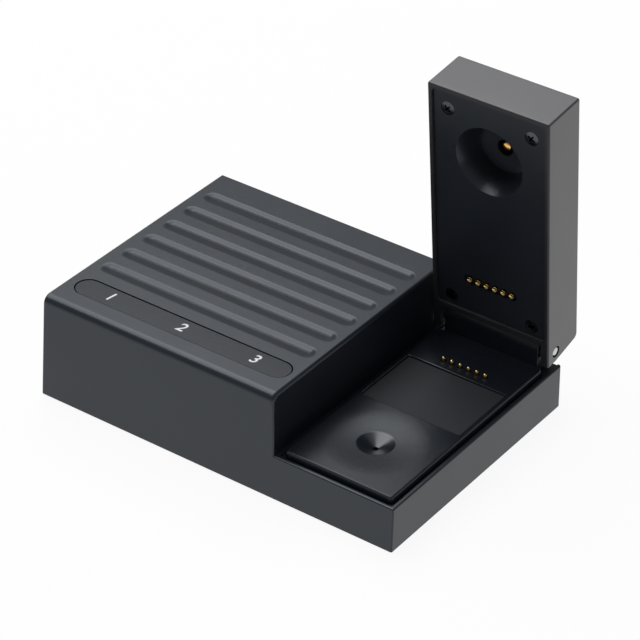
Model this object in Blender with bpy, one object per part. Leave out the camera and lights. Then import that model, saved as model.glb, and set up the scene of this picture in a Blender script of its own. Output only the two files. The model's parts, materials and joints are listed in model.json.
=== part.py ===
# Diamond tester: an L-shaped bench housing with a hinged lid that closes over a stone tray.
# Metres, +Z up. The origin is the middle of the footprint, on the surface that the feet stand on.
# The front, with the indicator window, faces -Y. The tray and its lid are on the +X side.
# The lid is modelled open, leaning a little forward of upright.

import math

import bmesh
import bpy
from mathutils import Vector

for old in list(bpy.data.objects):
    bpy.data.objects.remove(old, do_unlink=True)

mm = 0.001

# Housing
width = 110.0 * mm
base_depth = 75.7 * mm
block_height = 30.3 * mm
tray_height = 14.0 * mm
tray_width = 35.8 * mm
foot_drop = 0.5 * mm
wall = 2.2 * mm
top_wall = 2.4 * mm
front_fillet = 2.2 * mm
side_fillet = 1.0 * mm
edge_fillet = 0.4 * mm
front_draft = math.radians(3.0)
side_draft = math.radians(1.3)
notch_draft = math.radians(3.0)

# Clearances
gap = 0.3 * mm
slide_gap = 0.2 * mm
overrun = 1.0 * mm

# Tray: the rim, the step inside it and the plate that stands in the middle
lip = 1.0 * mm
inner_lip = 1.2 * mm
ledge = 0.5 * mm
ledge_drop = 0.4 * mm
plate_rise = 0.8 * mm
plate_thickness = 2.2 * mm
plate_seat = 2.8 * mm
tray_floor = 1.5 * mm
plate_corner = 1.0 * mm
plate_edge = 0.3 * mm

# Hinge, set from the base's rear and the tray's rim
hinge_from_rear = 3.2 * mm
hinge_rise = 5.2 * mm
knuckle_radius = 3.2 * mm
knuckle_clearance = 0.5 * mm
pin_radius = 1.3 * mm
press_gap = 0.1 * mm
pin_recess = 0.15 * mm
washer_thickness = 0.5 * mm
washer_radius = 2.9 * mm
lid_lean = math.radians(5.7)

# Lid, measured from the hinge axis but for its front end, which is set back from the base's front
lid_thickness = 14.0 * mm
lid_setback = 0.1 * mm
lid_tail = 3.3 * mm
axis_depth = 3.7 * mm
lid_side_gap = 0.4 * mm
ear = 2.3 * mm
lid_wall = 2.0 * mm
lid_frame = 1.9 * mm
tail_rise = 1.5 * mm
tail_corner = 1.5 * mm
tail_chamfer = 0.5 * mm
panel_inset = 0.9 * mm
panel_thickness = 2.0 * mm
panel_corner = 3.0 * mm
panel_shelf = 1.5 * mm
hinge_wall = 1.2 * mm
lid_edge = 0.4 * mm

# Places on the tray and, mirrored about the hinge, in the lid
well_from_front = 18.2 * mm
contacts_from_hinge = 15.1 * mm

left = -width / 2
right = width / 2
tray_left = right - tray_width
hinge_from_front = base_depth - hinge_from_rear
hinge_height = tray_height + hinge_rise
lid_reach = hinge_from_front - lid_setback
tray_middle = (tray_left + right) / 2
ledge_height = tray_height - ledge_drop
plate_top = tray_height + plate_rise
plate_bottom = plate_top - plate_thickness
pocket_floor = plate_bottom - gap
block_ceiling = block_height - top_wall
tray_ceiling = pocket_floor - tray_floor
lid_left = tray_left + lid_side_gap
lid_middle = (lid_left + right) / 2
inner_face = -axis_depth
outer_face = lid_thickness - axis_depth


# Outlines

def arc(centre, radius, start, end, steps):
    points = []
    for i in range(steps + 1):
        angle = start + (end - start) * i / steps
        points.append((centre[0] + radius * math.cos(angle), centre[1] + radius * math.sin(angle)))
    return points


def circle(centre, radius, sides=24):
    return arc(centre, radius, 0, math.tau, sides)[:-1]


def rounded(corners, steps=4):
    # Each corner is (a, b, radius). A radius of zero keeps the corner sharp.
    points = []
    count = len(corners)
    for i, (a, b, radius) in enumerate(corners):
        corner = Vector((a, b))
        if not radius:
            points.append((a, b))
            continue
        before = Vector(corners[i - 1][:2]) - corner
        after = Vector(corners[(i + 1) % count][:2]) - corner
        half = before.angle(after) / 2
        reach = radius / math.tan(half)
        middle = (before.normalized() + after.normalized()).normalized() * (radius / math.sin(half))
        start = before.normalized() * reach - middle
        end = after.normalized() * reach - middle
        sweep = math.pi - 2 * half
        turn = sweep if start.x * end.y - start.y * end.x > 0 else -sweep
        first = math.atan2(start.y, start.x)
        points += arc(corner + middle, radius, first, first + turn, steps)
    return points


def rectangle(low_a, high_a, low_b, high_b, radius=0, steps=4):
    corners = [(low_a, low_b), (high_a, low_b), (high_a, high_b), (low_a, high_b)]
    return rounded([(a, b, radius) for a, b in corners], steps)


def stadium(low, high, middle, radius, steps=8):
    # A long round-ended outline between two end values, about a middle line.
    right_end = arc((high - radius, middle), radius, -math.pi / 2, math.pi / 2, steps)
    left_end = arc((low + radius, middle), radius, math.pi / 2, math.pi * 1.5, steps)
    return right_end + left_end


# Solids

def place(axis, a, b, along):
    if axis == "X":
        return Vector((along, a, b))
    if axis == "Y":
        return Vector((a, along, b))
    return Vector((a, b, along))


def add_lofted(mesh, rings):
    # Joins rings of equally many points and closes both ends.
    loops = [[mesh.verts.new(point) for point in ring] for ring in rings]
    count = len(loops[0])
    faces = [mesh.faces.new(loops[0]), mesh.faces.new(loops[-1])]
    for lower, upper in zip(loops, loops[1:]):
        for i in range(count):
            j = (i + 1) % count
            faces.append(mesh.faces.new((lower[i], lower[j], upper[j], upper[i])))
    bmesh.ops.recalc_face_normals(mesh, faces=faces)
    return mesh


def add_prism(mesh, outline, low, high, axis="Z"):
    return add_lofted(mesh, [[place(axis, a, b, end) for a, b in outline] for end in (low, high)])


def add_stack(mesh, levels, axis="Z"):
    # Each level is (outline, place along the axis); outlines have equally many points.
    return add_lofted(mesh, [[place(axis, a, b, along) for a, b in outline] for outline, along in levels])


def add_turned(mesh, centre, profile, axis="Z", sides=24):
    # Profile points are (radius, place along the axis), from one end to the other.
    levels = [(circle(centre, radius, sides), along) for radius, along in profile]
    return add_stack(mesh, levels, axis)


def prism(outline, low, high, axis="Z"):
    return add_prism(bmesh.new(), outline, low, high, axis)


def box(low, high):
    return prism(rectangle(low[0], high[0], low[1], high[1]), low[2], high[2])


def turned(centre, profile, axis="Z", sides=24):
    return add_turned(bmesh.new(), centre, profile, axis, sides)


def edges_where(mesh, test):
    return [edge for edge in mesh.edges if test(*(vert.co for vert in edge.verts))]


def sharp_edges(mesh, above):
    # Outward corners of more than 60 degrees that reach above a height.
    mesh.normal_update()
    chosen = []
    for edge in mesh.edges:
        highest = max(vert.co.z for vert in edge.verts)
        if highest > above and edge.calc_face_angle_signed() > math.radians(60):
            chosen.append(edge)
    return chosen


def bevel(mesh, edges, radius, segments):
    bmesh.ops.bevel(mesh, geom=edges, offset=radius, segments=segments, profile=0.5, affect="EDGES")


# Objects

lid_axis = bpy.data.objects.new("lid_axis", None)
lid_axis.empty_display_size = lid_tail


def material(name, colour, roughness, metallic=0.0):
    made = bpy.data.materials.new(name)
    made.use_nodes = True
    shader = made.node_tree.nodes["Principled BSDF"]
    shader.inputs["Base Color"].default_value = (*colour, 1.0)
    shader.inputs["Roughness"].default_value = roughness
    shader.inputs["Metallic"].default_value = metallic
    made.diffuse_color = (*colour, 1.0)
    return made


def add_object(name, mesh, finish, parent=None, location=None):
    data = bpy.data.meshes.new(name)
    mesh.to_mesh(data)
    mesh.free()
    data.shade_smooth()
    data.set_sharp_from_angle(angle=math.radians(32))
    data.materials.append(finish)
    made = bpy.data.objects.new(name, data)
    made.parent = parent
    if location:
        made.location = location
    bpy.context.scene.collection.objects.link(made)
    return made


def modify(target, mesh, operation, label):
    # Cuts or joins a helper mesh, which stays in the file as a wire guide.
    data = bpy.data.meshes.new(f"{target.name}_{label}")
    mesh.to_mesh(data)
    mesh.free()
    guide = bpy.data.objects.new(data.name, data)
    guide.parent = target.parent
    guide.location = target.location
    guide.hide_render = True
    guide.display_type = "WIRE"
    bpy.context.scene.collection.objects.link(guide)
    change = target.modifiers.new(label, "BOOLEAN")
    change.operation = operation
    change.solver = "EXACT"
    change.object = guide


def cut(target, mesh, label):
    modify(target, mesh, "DIFFERENCE", label)


def join(target, mesh, label):
    modify(target, mesh, "UNION", label)


# Finishes

housing_black = material("housing_black", (0.030, 0.032, 0.036), 0.42)
tray_black = material("tray_black", (0.018, 0.019, 0.022), 0.40)
lid_black = material("lid_black", (0.034, 0.036, 0.040), 0.38)
cover_black = material("cover_black", (0.020, 0.021, 0.023), 0.60)
window_black = material("window_black", (0.022, 0.024, 0.028), 0.25)
rubber_black = material("rubber_black", (0.012, 0.012, 0.012), 0.85)
label_black = material("label_black", (0.014, 0.015, 0.017), 0.35)
insulator_black = material("insulator_black", (0.016, 0.016, 0.017), 0.55)
baffle_white = material("baffle_white", (0.75, 0.75, 0.73), 0.55)
steel = material("steel", (0.62, 0.62, 0.62), 0.28, 1.0)
screw_black = material("screw_black", (0.06, 0.06, 0.065), 0.35, 1.0)
gold = material("gold", (0.80, 0.56, 0.20), 0.25, 1.0)
board_green = material("board_green", (0.020, 0.110, 0.045), 0.45)
chip_black = material("chip_black", (0.020, 0.020, 0.022), 0.50)
cell_blue = material("cell_blue", (0.050, 0.130, 0.320), 0.35)
lamp_clear = material("lamp_clear", (0.70, 0.72, 0.70), 0.15)
washer_black = material("washer_black", (0.022, 0.022, 0.023), 0.50)


# Lid side profile, about the hinge axis: (depth behind the axis, height along the lid)

lid_profile = rounded([
    (inner_face, lid_reach, 0),
    (inner_face, tail_chamfer - lid_tail, 0),
    (inner_face + tail_chamfer, -lid_tail, 0),
    (0, -lid_tail, 0),
    (outer_face, tail_rise - lid_tail, tail_corner),
    (outer_face, lid_reach, 0),
])

# The walls stand at their stated places at the tray's rim. Their draft carries them out below it
# and in above it. The open lid stands out behind the base, and the footprint's middle is taken over both.
front_flare = (tray_height - foot_drop) * math.tan(front_draft)
lid_rear = max(depth * math.cos(lid_lean) - height * math.sin(lid_lean) for depth, height in lid_profile)
overall_depth = front_flare + hinge_from_front + lid_rear
front = front_flare - overall_depth / 2
rear = front + base_depth
hinge_y = front + hinge_from_front
lid_axis.location = (0, hinge_y, hinge_height)
lid_axis.rotation_euler = (lid_lean, 0, 0)
bpy.context.scene.collection.objects.link(lid_axis)


# Indicator window and the grooves pressed into the block's top

window_inset = 3.2 * mm
window_from_front = 11.0 * mm
window_radius = 3.8 * mm
window_groove = 0.25 * mm
window_flange = 1.0 * mm
window_flange_thickness = 1.0 * mm

groove_count = 6
groove_inset = 3.0 * mm
first_groove_from_front = 21.25 * mm
last_groove_from_rear = 11.15 * mm
groove_radius = 2.4 * mm
groove_depth = 0.9 * mm
groove_side = 1.6 * mm
groove_side_shares = [(0, 0), (0.19, 0.12), (0.38, 0.38), (0.80, 0.90), (1, 1)]

window_y = front + window_from_front
first_groove_y = front + first_groove_from_front
groove_pitch = (rear - last_groove_from_rear - first_groove_y) / (groove_count - 1)


def groove_cutters():
    # Each groove has a soft lip, a sloping side that eases out, and a flat floor.
    mesh = bmesh.new()
    for index in range(groove_count):
        middle = first_groove_y + index * groove_pitch
        levels = []
        low = left + groove_inset
        high = tray_left - groove_inset
        levels.append((stadium(low, high, middle, groove_radius, 5), block_height + overrun))
        for side_share, depth_share in groove_side_shares:
            inward = groove_side * side_share
            outline = stadium(low + inward, high - inward, middle, groove_radius - inward, 5)
            levels.append((outline, block_height - groove_depth * depth_share))
        add_stack(mesh, levels)
    return mesh


# Openings in the rear wall

inlet_from_left = 18.0 * mm
inlet_width = 9.0 * mm
inlet_height = 3.3 * mm
inlet_depth = 7.4 * mm
inlet_corner = 1.4 * mm
switch_from_left = 36.0 * mm
switch_travel = 3.0 * mm
knob_width = 2.6 * mm
knob_height = 2.2 * mm
knob_lift = 1.2 * mm
knob_proud = 1.2 * mm

# Inner pieces
cover_thickness = 1.8 * mm
board_thickness = 1.6 * mm
standoff_height = 2.0 * mm
standoff_radius = 2.5 * mm
boss_size = 6.8 * mm
boss_height = 10.0 * mm
screw_inset = 6.0 * mm
screw_radius = 1.15 * mm
screw_head_radius = 2.3 * mm
screw_tip_drop = 1.65 * mm
post_radius = 2.2 * mm
post_inset = 10.0 * mm
post_behind_window = 8.5 * mm

cover_bottom = foot_drop
cover_top = cover_bottom + cover_thickness
board_bottom = cover_top + standoff_height + gap
board_top = board_bottom + board_thickness
part_floor = board_top + gap
screw_bottom = cover_bottom + gap / 2
screw_top = tray_ceiling - screw_tip_drop
screw_spots = [
    (x, y) for x in (left + screw_inset, right - screw_inset) for y in (front + screw_inset, rear - screw_inset)
]

lens_bottom = block_ceiling - gap - window_flange_thickness
baffle_height = 6.3 * mm
baffle_top = lens_bottom - gap
baffle_bottom = baffle_top - baffle_height
lamp_board_top = baffle_bottom - gap
lamp_board_thickness = 1.6 * mm
lamp_board_bottom = lamp_board_top - lamp_board_thickness
post_y = window_y + post_behind_window
post_spots = [(left + post_inset, post_y), (tray_left - post_inset, post_y)]


def bosses():
    mesh = bmesh.new()
    low = cover_top + gap
    bite = wall / 4
    for x, y in screw_spots:
        side_x = math.copysign(1, x)
        side_y = 1 if y > (front + rear) / 2 else -1
        wall_x = (right - wall + bite) if side_x > 0 else (left + wall - bite)
        wall_y = (rear - wall + bite) if side_y > 0 else (front + wall - bite)
        xs = sorted((wall_x, wall_x - side_x * boss_size))
        ys = sorted((wall_y, wall_y - side_y * boss_size))
        high = low + boss_height if x < 0 else tray_ceiling + bite
        add_prism(mesh, rectangle(xs[0], xs[1], ys[0], ys[1]), low, high)
    post = [(post_radius, lamp_board_top + gap), (post_radius, block_ceiling + bite)]
    for spot in post_spots:
        add_turned(mesh, spot, post, sides=16)
    return mesh


def pilot_holes():
    mesh = bmesh.new()
    radius = screw_radius + gap
    hole = [(radius, cover_top - overrun), (radius, screw_top + screw_tip_drop)]
    for spot in screw_spots:
        add_turned(mesh, spot, hole, sides=16)
    return mesh


def draft(mesh):
    # Leans the front, side and notch walls in towards the top; the rear stands upright.
    for vert in mesh.verts:
        rise = vert.co.z - tray_height
        if vert.co.y < (front + rear) / 2:
            vert.co.y += rise * math.tan(front_draft)
        if vert.co.x < (left + tray_left) / 2:
            vert.co.x += rise * math.tan(side_draft)
        elif vert.co.x > (tray_left + right) / 2:
            vert.co.x -= rise * math.tan(side_draft)
        else:
            vert.co.x -= rise * math.tan(notch_draft)


def build_main_housing():
    outline = [
        (left, foot_drop), (right, foot_drop), (right, tray_height),
        (tray_left, tray_height), (tray_left, block_height), (left, block_height),
    ]
    mesh = prism(outline, front, rear, "Y")
    draft(mesh)
    near = gap / 10

    def on_top_front(a, b):
        return all(p.y < front + wall and p.z > block_height - near for p in (a, b))

    def on_notch_top(a, b):
        return all(p.x > tray_left - wall and p.z > block_height - front_fillet - near for p in (a, b))

    def on_tray_rear(a, b):
        return all(abs(p.y - rear) < near and abs(p.z - tray_height) < near for p in (a, b))

    bevel(mesh, edges_where(mesh, on_top_front), front_fillet, 6)
    bevel(mesh, edges_where(mesh, on_notch_top), side_fillet, 3)
    open_rear = edges_where(mesh, on_tray_rear)
    others = [edge for edge in sharp_edges(mesh, foot_drop + near) if edge not in open_rear]
    bevel(mesh, others, edge_fillet, 2)
    housing = add_object("main_housing", mesh, housing_black)

    inner = bmesh.new()
    block_inner = rectangle(left + wall, tray_left - wall, front + wall, rear - wall)
    add_prism(inner, block_inner, foot_drop - overrun, block_ceiling)
    cut(housing, inner, "block_hollow")
    tray_inner = rectangle(tray_left - wall - overrun, right - wall, front + wall, rear - wall)
    cut(housing, prism(tray_inner, foot_drop - overrun, tray_ceiling), "tray_hollow")
    join(housing, bosses(), "bosses")
    cut(housing, pilot_holes(), "pilot_holes")

    recess = rectangle(tray_left + inner_lip, right - lip, front + lip, rear + overrun)
    cut(housing, prism(recess, ledge_height, tray_height + overrun), "recess")
    cut(housing, prism(plate_outline(gap), pocket_floor, tray_height + overrun), "plate_pocket")
    opening = plate_outline(-plate_seat)
    cut(housing, prism(opening, tray_ceiling - overrun, pocket_floor + overrun), "plate_opening")

    window = stadium(left + window_inset, tray_left - window_inset, window_y, window_radius)
    cut(housing, prism(window, block_ceiling - overrun, block_height + overrun), "window_opening")
    cut(housing, groove_cutters(), "grooves")

    inlet_x = left + inlet_from_left
    half = inlet_width / 2 + gap
    low = part_floor - gap
    inlet = rectangle(inlet_x - half, inlet_x + half, low, low + inlet_height + 2 * gap, inlet_corner, 3)
    cut(housing, prism(inlet, rear - wall - overrun, rear + overrun, "Y"), "inlet_opening")
    cut(housing, prism(switch_slot(gap), rear - wall - overrun, rear + overrun, "Y"), "switch_opening")
    return housing


def plate_outline(grow):
    # The tray plate's outline in plan, made larger or smaller all round.
    low_x = tray_left + inner_lip + ledge + gap - grow
    high_x = right - lip - ledge - gap + grow
    low_y = front + lip + ledge + gap - grow
    high_y = hinge_y - knuckle_radius + grow
    return rectangle(low_x, high_x, low_y, high_y, plate_corner, 3)


def switch_slot(clear):
    middle = left + switch_from_left
    low = part_floor + knob_lift
    half = knob_width / 2 + clear
    return rectangle(middle - half, middle + half + switch_travel, low - clear, low + knob_height + clear)


# Tray plate with the hinge knuckle moulded on its rear edge

dish_radius = 13.5 * mm
dish_depth = 0.5 * mm
well_radius = 4.9 * mm
well_depth = 2.1 * mm
aperture_radius = 0.7 * mm
well_boss_radius = 6.0 * mm
well_boss_drop = 1.6 * mm
label_width = 29.6 * mm
label_behind_well = 14.7 * mm
label_before_contacts = 3.3 * mm
label_recess = 1.1 * mm
label_thickness = 0.3 * mm
label_corner = 0.4 * mm
contact_count = 6
contact_pitch = 2.54 * mm
contact_radius = 0.55 * mm
contact_window_radius = contact_radius + slide_gap

well_y = front + well_from_front
contact_y = hinge_y - contacts_from_hinge
contact_row = (contact_count - 1) * contact_pitch
contact_xs = [tray_middle + i * contact_pitch - contact_row / 2 for i in range(contact_count)]
knuckle_left = lid_left + ear + washer_thickness + 2 * gap
knuckle_right = right - ear - washer_thickness - 2 * gap
well_floor = plate_top - well_depth


def dish_surface(radius):
    # The dish is a shallow spherical bowl, so its depth falls off with the square of the radius.
    return plate_top - dish_depth * (1 - (radius / dish_radius) ** 2)


def dish_cutter():
    rings = 5
    radii = [aperture_radius + (dish_radius - aperture_radius) * ring / rings for ring in range(rings + 1)]
    profile = [(radius, dish_surface(radius)) for radius in radii]
    profile.append((dish_radius, plate_top + overrun))
    return turned((tray_middle, well_y), profile, sides=40)


def well_cutter():
    mouth = dish_surface(well_radius)
    slope = (well_radius - aperture_radius) / (mouth - well_floor)
    top = plate_top + overrun
    profile = [
        (aperture_radius, plate_bottom - well_boss_drop - overrun),
        (aperture_radius, well_floor),
        (well_radius + (top - mouth) * slope, top),
    ]
    return turned((tray_middle, well_y), profile, sides=32)


def knuckle_outline():
    # Round over the top, about the hinge axis, with flat faces front and rear down to the tray's rim.
    # The front face steps forward into the plate, below its top.
    foot = ledge_height + gap
    shoulder = plate_top - gap
    knuckle_front = hinge_y - knuckle_radius
    return arc((hinge_y, hinge_height), knuckle_radius, 0, math.pi, 12) + [
        (knuckle_front, shoulder), (knuckle_front - gap, shoulder),
        (knuckle_front - gap, foot), (hinge_y + knuckle_radius, foot),
    ]


def build_tray_plate():
    mesh = prism(plate_outline(0), plate_bottom, plate_top)
    near = gap / 10

    def on_top(a, b):
        return all(p.z > plate_top - near and p.y < hinge_y - knuckle_radius - near for p in (a, b))

    bevel(mesh, edges_where(mesh, on_top), plate_edge, 2)
    plate = add_object("tray_plate", mesh, tray_black)
    join(plate, prism(knuckle_outline(), knuckle_left, knuckle_right, "X"), "knuckle")
    boss = [(well_boss_radius, plate_bottom - well_boss_drop), (well_boss_radius, plate_bottom + gap)]
    join(plate, turned((tray_middle, well_y), boss), "well_boss")
    cut(plate, dish_cutter(), "dish")
    cut(plate, well_cutter(), "well")
    cut(plate, prism(label_outline(gap), plate_top - label_recess, plate_top + overrun), "label_recess")
    windows = bmesh.new()
    for x in contact_xs:
        spot = (x, contact_y)
        radius = contact_window_radius
        add_turned(windows, spot, [(radius, plate_bottom - overrun), (radius, plate_top + overrun)], sides=12)
    cut(plate, windows, "contact_windows")
    bore = pin_radius + press_gap
    pin_hole = [(bore, knuckle_left - overrun), (bore, knuckle_right + overrun)]
    cut(plate, turned((hinge_y, hinge_height), pin_hole, "X", 20), "pin_hole")
    return plate


def label_outline(grow):
    low_y = well_y + label_behind_well + gap - grow
    high_y = contact_y - label_before_contacts - gap + grow
    half = label_width / 2 - gap + grow
    return rectangle(tray_middle - half, tray_middle + half, low_y, high_y, label_corner, 2)


def build_label_plate():
    low = plate_top - label_recess + gap
    return add_object("label_plate", prism(label_outline(0), low, low + label_thickness), label_black)


# Underside: cover, screws and feet

foot_radius = 5.0 * mm
foot_thickness = 1.3 * mm
foot_inset = 15.0 * mm
foot_chamfer = 0.3 * mm
foot_spots = [
    (x, y) for x in (left + foot_inset, right - foot_inset) for y in (front + foot_inset, rear - foot_inset)
]
standoff_inset = 14.0 * mm
head_depth = screw_head_radius - screw_radius


def build_bottom_cover():
    edge = wall + gap
    outline = rectangle(left + edge, right - edge, front + edge, rear - edge)
    cover = add_object("bottom_cover", prism(outline, cover_bottom, cover_top), cover_black)
    standoffs = bmesh.new()
    for x in (left + standoff_inset, right - standoff_inset):
        for y in (front + foot_inset, rear - foot_inset):
            profile = [(standoff_radius, cover_top - gap), (standoff_radius, board_bottom - gap)]
            add_turned(standoffs, (x, y), profile, sides=16)
    join(cover, standoffs, "standoffs")
    holes = bmesh.new()
    for spot in screw_spots:
        wide = screw_head_radius + gap
        narrow = screw_radius + gap
        profile = [
            (wide, cover_bottom - overrun), (wide, cover_bottom + gap),
            (narrow, cover_bottom + gap + head_depth), (narrow, cover_top + overrun),
        ]
        add_turned(holes, spot, profile, sides=20)
    cut(cover, holes, "screw_holes")
    seats = bmesh.new()
    for spot in foot_spots:
        radius = foot_radius + gap
        top = foot_thickness + gap
        add_turned(seats, spot, [(radius, cover_bottom - overrun), (radius, top)], sides=28)
    cut(cover, seats, "foot_seats")
    return cover


def build_cover_screws():
    for index, spot in enumerate(screw_spots, 1):
        profile = [
            (screw_head_radius, screw_bottom), (screw_radius, screw_bottom + head_depth),
            (screw_radius, screw_top - screw_radius), (screw_radius / 3, screw_top),
        ]
        add_object(f"cover_screw_{index}", turned(spot, profile, sides=16), screw_black)


def build_feet():
    profile = [(foot_radius - foot_chamfer, 0), (foot_radius, foot_chamfer), (foot_radius, foot_thickness)]
    for index, spot in enumerate(foot_spots, 1):
        add_object(f"foot_{index}", turned(spot, profile, sides=28), rubber_black)


# Indicator: window, light box, three lamps and their board

lamp_count = 3
lamp_radius = 1.5 * mm
lamp_height = 4.0 * mm
baffle_wall = 1.2 * mm
baffle_width = 8.4 * mm
baffle_end_inset = 3.0 * mm


def build_indicator_window():
    low = left + window_inset
    high = tray_left - window_inset
    inner = window_radius - window_groove
    top = stadium(low + window_groove, high - window_groove, window_y, inner)
    outer = window_radius + window_flange
    flange = stadium(low - window_flange, high + window_flange, window_y, outer)
    flange_top = lens_bottom + window_flange_thickness
    lens = prism(top, lens_bottom + gap, block_height - gap / 3)
    window = add_object("indicator_window", lens, window_black)
    join(window, prism(flange, lens_bottom, flange_top), "flange")
    return window


def cell_ends():
    low = left + window_inset + baffle_end_inset
    high = tray_left - window_inset - baffle_end_inset
    pitch = (high - low) / lamp_count
    return [(low + pitch * i, low + pitch * (i + 1)) for i in range(lamp_count)]


def build_indicator():
    ends = cell_ends()
    low_y = window_y - baffle_width / 2
    high_y = window_y + baffle_width / 2
    low_x = ends[0][0] - baffle_wall
    high_x = ends[-1][1] + baffle_wall
    outer = box((low_x, low_y, baffle_bottom), (high_x, high_y, baffle_top))
    light_box = add_object("light_box", outer, baffle_white)
    cells = bmesh.new()
    for low, high in ends:
        side = baffle_wall / 2
        outline = rectangle(low + side, high - side, low_y + baffle_wall, high_y - baffle_wall)
        add_prism(cells, outline, baffle_bottom - overrun, baffle_top + overrun)
    cut(light_box, cells, "cells")
    board_rear = post_y + post_radius + gap
    lamp_board = box((low_x, low_y, lamp_board_bottom), (high_x, board_rear, lamp_board_top))
    add_object("lamp_board", lamp_board, board_green)
    for index, (low, high) in enumerate(ends, 1):
        base = lamp_board_top + gap
        dome = base + lamp_height - lamp_radius
        profile = [(lamp_radius + gap, base), (lamp_radius + gap, base + gap), (lamp_radius, base + gap)]
        profile += [
            (lamp_radius * math.cos(angle), dome + lamp_radius * math.sin(angle))
            for angle in (0, math.radians(30), math.radians(55), math.radians(78))
        ]
        spot = ((low + high) / 2, window_y)
        add_object(f"lamp_{index}", turned(spot, profile, sides=16), lamp_clear)


# Main board and what stands on it

board_inset = 10.0 * mm
board_front_inset = 5.0 * mm
cell_headroom = 1.2 * mm
cell_from_rear = 23.7 * mm
holder_base = 1.5 * mm
holder_wall = 1.5 * mm
holder_side = 1.0 * mm
holder_height = 8.0 * mm
cell_button_radius = 2.6 * mm
cell_button_height = 1.0 * mm
buzzer_radius = 6.0 * mm
buzzer_height = 5.5 * mm
buzzer_from_left = 20.0 * mm
buzzer_before_holder = 3.5 * mm
sound_hole_radius = 1.2 * mm
sound_hole_depth = 2.0 * mm
chip_size = 9.0 * mm
chip_height = 1.4 * mm
chip_from_left = 44.0 * mm
sensor_radius = 2.3 * mm
sensor_flange = 0.5 * mm
inlet_wall = 0.5 * mm
switch_width = 10.4 * mm
switch_height = 5.0 * mm
switch_wall = 1.0 * mm
slider_depth = 3.0 * mm

cell_y = rear - cell_from_rear
cell_bottom = part_floor + holder_base + gap
cell_radius = (block_ceiling - cell_headroom - cell_bottom) / 2
holder_half = cell_radius + gap + holder_side
buzzer_y = cell_y - holder_half - buzzer_before_holder - buzzer_radius


def build_main_board():
    low = (left + board_inset, front + board_front_inset, board_bottom)
    high = (right - board_inset, rear - board_front_inset, board_top)
    add_object("main_board", box(low, high), board_green)


def build_battery():
    low_x = left + wall + holder_side
    high_x = tray_left - wall - holder_side
    centre = (cell_y, cell_bottom + cell_radius)
    holder = add_object("battery_holder", box(
        (low_x, cell_y - holder_half, part_floor), (high_x, cell_y + holder_half, part_floor + holder_height),
    ), insulator_black)
    bore = cell_radius + gap
    trough = [(bore, low_x + holder_wall), (bore, high_x - holder_wall)]
    cut(holder, turned(centre, trough, "X", 32), "trough")
    start = low_x + holder_wall + gap
    end = high_x - holder_wall - gap
    edge = cell_radius / 12
    profile = [
        (cell_radius - edge, start), (cell_radius, start + edge),
        (cell_radius, end - cell_button_height - edge), (cell_radius - edge, end - cell_button_height),
        (cell_button_radius, end - cell_button_height), (cell_button_radius, end),
    ]
    add_object("battery_cell", turned(centre, profile, "X", 32), cell_blue)


def build_board_parts():
    spot = (left + buzzer_from_left, buzzer_y)
    top = part_floor + buzzer_height
    can = [(buzzer_radius, part_floor), (buzzer_radius, top)]
    buzzer = add_object("buzzer", turned(spot, can), chip_black)
    hole = [(sound_hole_radius, top - sound_hole_depth), (sound_hole_radius, top + overrun)]
    cut(buzzer, turned(spot, hole, sides=12), "sound_hole")
    chip_x = left + chip_from_left
    half = chip_size / 2
    chip_low = (chip_x - half, buzzer_y - half, part_floor)
    chip_high = (chip_x + half, buzzer_y + half, part_floor + chip_height)
    add_object("control_chip", box(chip_low, chip_high), chip_black)
    sensor_top = plate_bottom - well_boss_drop - gap
    flange = sensor_radius + sensor_flange
    add_object("light_sensor", turned((tray_middle, well_y), [
        (flange, part_floor), (flange, part_floor + sensor_flange),
        (sensor_radius, part_floor + sensor_flange), (sensor_radius, sensor_top - sensor_flange),
        (sensor_radius - sensor_flange, sensor_top),
    ], sides=20), steel)


def build_power_inlet():
    middle = left + inlet_from_left
    half = inlet_width / 2
    corner = inlet_corner - gap
    outer = rectangle(middle - half, middle + half, part_floor, part_floor + inlet_height, corner, 3)
    end = rear - gap
    start = end - inlet_depth
    inlet = add_object("power_inlet", prism(outer, start, end, "Y"), steel)
    inner = rectangle(
        middle - half + inlet_wall, middle + half - inlet_wall,
        part_floor + inlet_wall, part_floor + inlet_height - inlet_wall, corner - inlet_wall / 2, 3,
    )
    cut(inlet, prism(inner, start + inlet_wall, end + overrun, "Y"), "mouth")
    tongue_low = part_floor + (inlet_height - inlet_wall) / 2
    tongue = rectangle(middle - half / 2, middle + half / 2, tongue_low, tongue_low + inlet_wall)
    join(inlet, prism(tongue, start + inlet_wall / 2, end - inlet_depth / 5, "Y"), "tongue")


def build_power_switch():
    middle = left + switch_from_left + switch_travel / 2
    half = switch_width / 2
    inner_rear = rear - wall - gap
    depth = slider_depth + switch_wall + gap
    body_low = (middle - half, inner_rear - depth, part_floor)
    body_high = (middle + half, inner_rear, part_floor + switch_height)
    body = add_object("switch_body", box(body_low, body_high), chip_black)
    cut(body, prism(switch_slot(gap), inner_rear - slider_depth - gap, inner_rear + overrun, "Y"), "slot")
    slider_x = left + switch_from_left
    knob = rectangle(-knob_width / 2, knob_width / 2, 0, knob_height)
    low_y = inner_rear - slider_depth
    slider = prism(knob, 0, rear + knob_proud - low_y, "Y")
    add_object(
        "switch_slider", slider, insulator_black, location=(slider_x, low_y, part_floor + knob_lift),
    )


# Spring contacts: one insulating block, six plungers and their springs

contact_travel = 0.9 * mm
contact_proud = contact_travel + gap
plunger_flange_radius = 0.85 * mm
plunger_flange = 0.5 * mm
plunger_bore_radius = plunger_flange_radius + slide_gap
block_margin = 2.2 * mm
block_half_depth = 1.8 * mm
block_floor = 0.9 * mm
spring_radius = 0.6 * mm
spring_wire = 0.1 * mm
spring_turns = 4
spring_turn_points = 8


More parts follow.
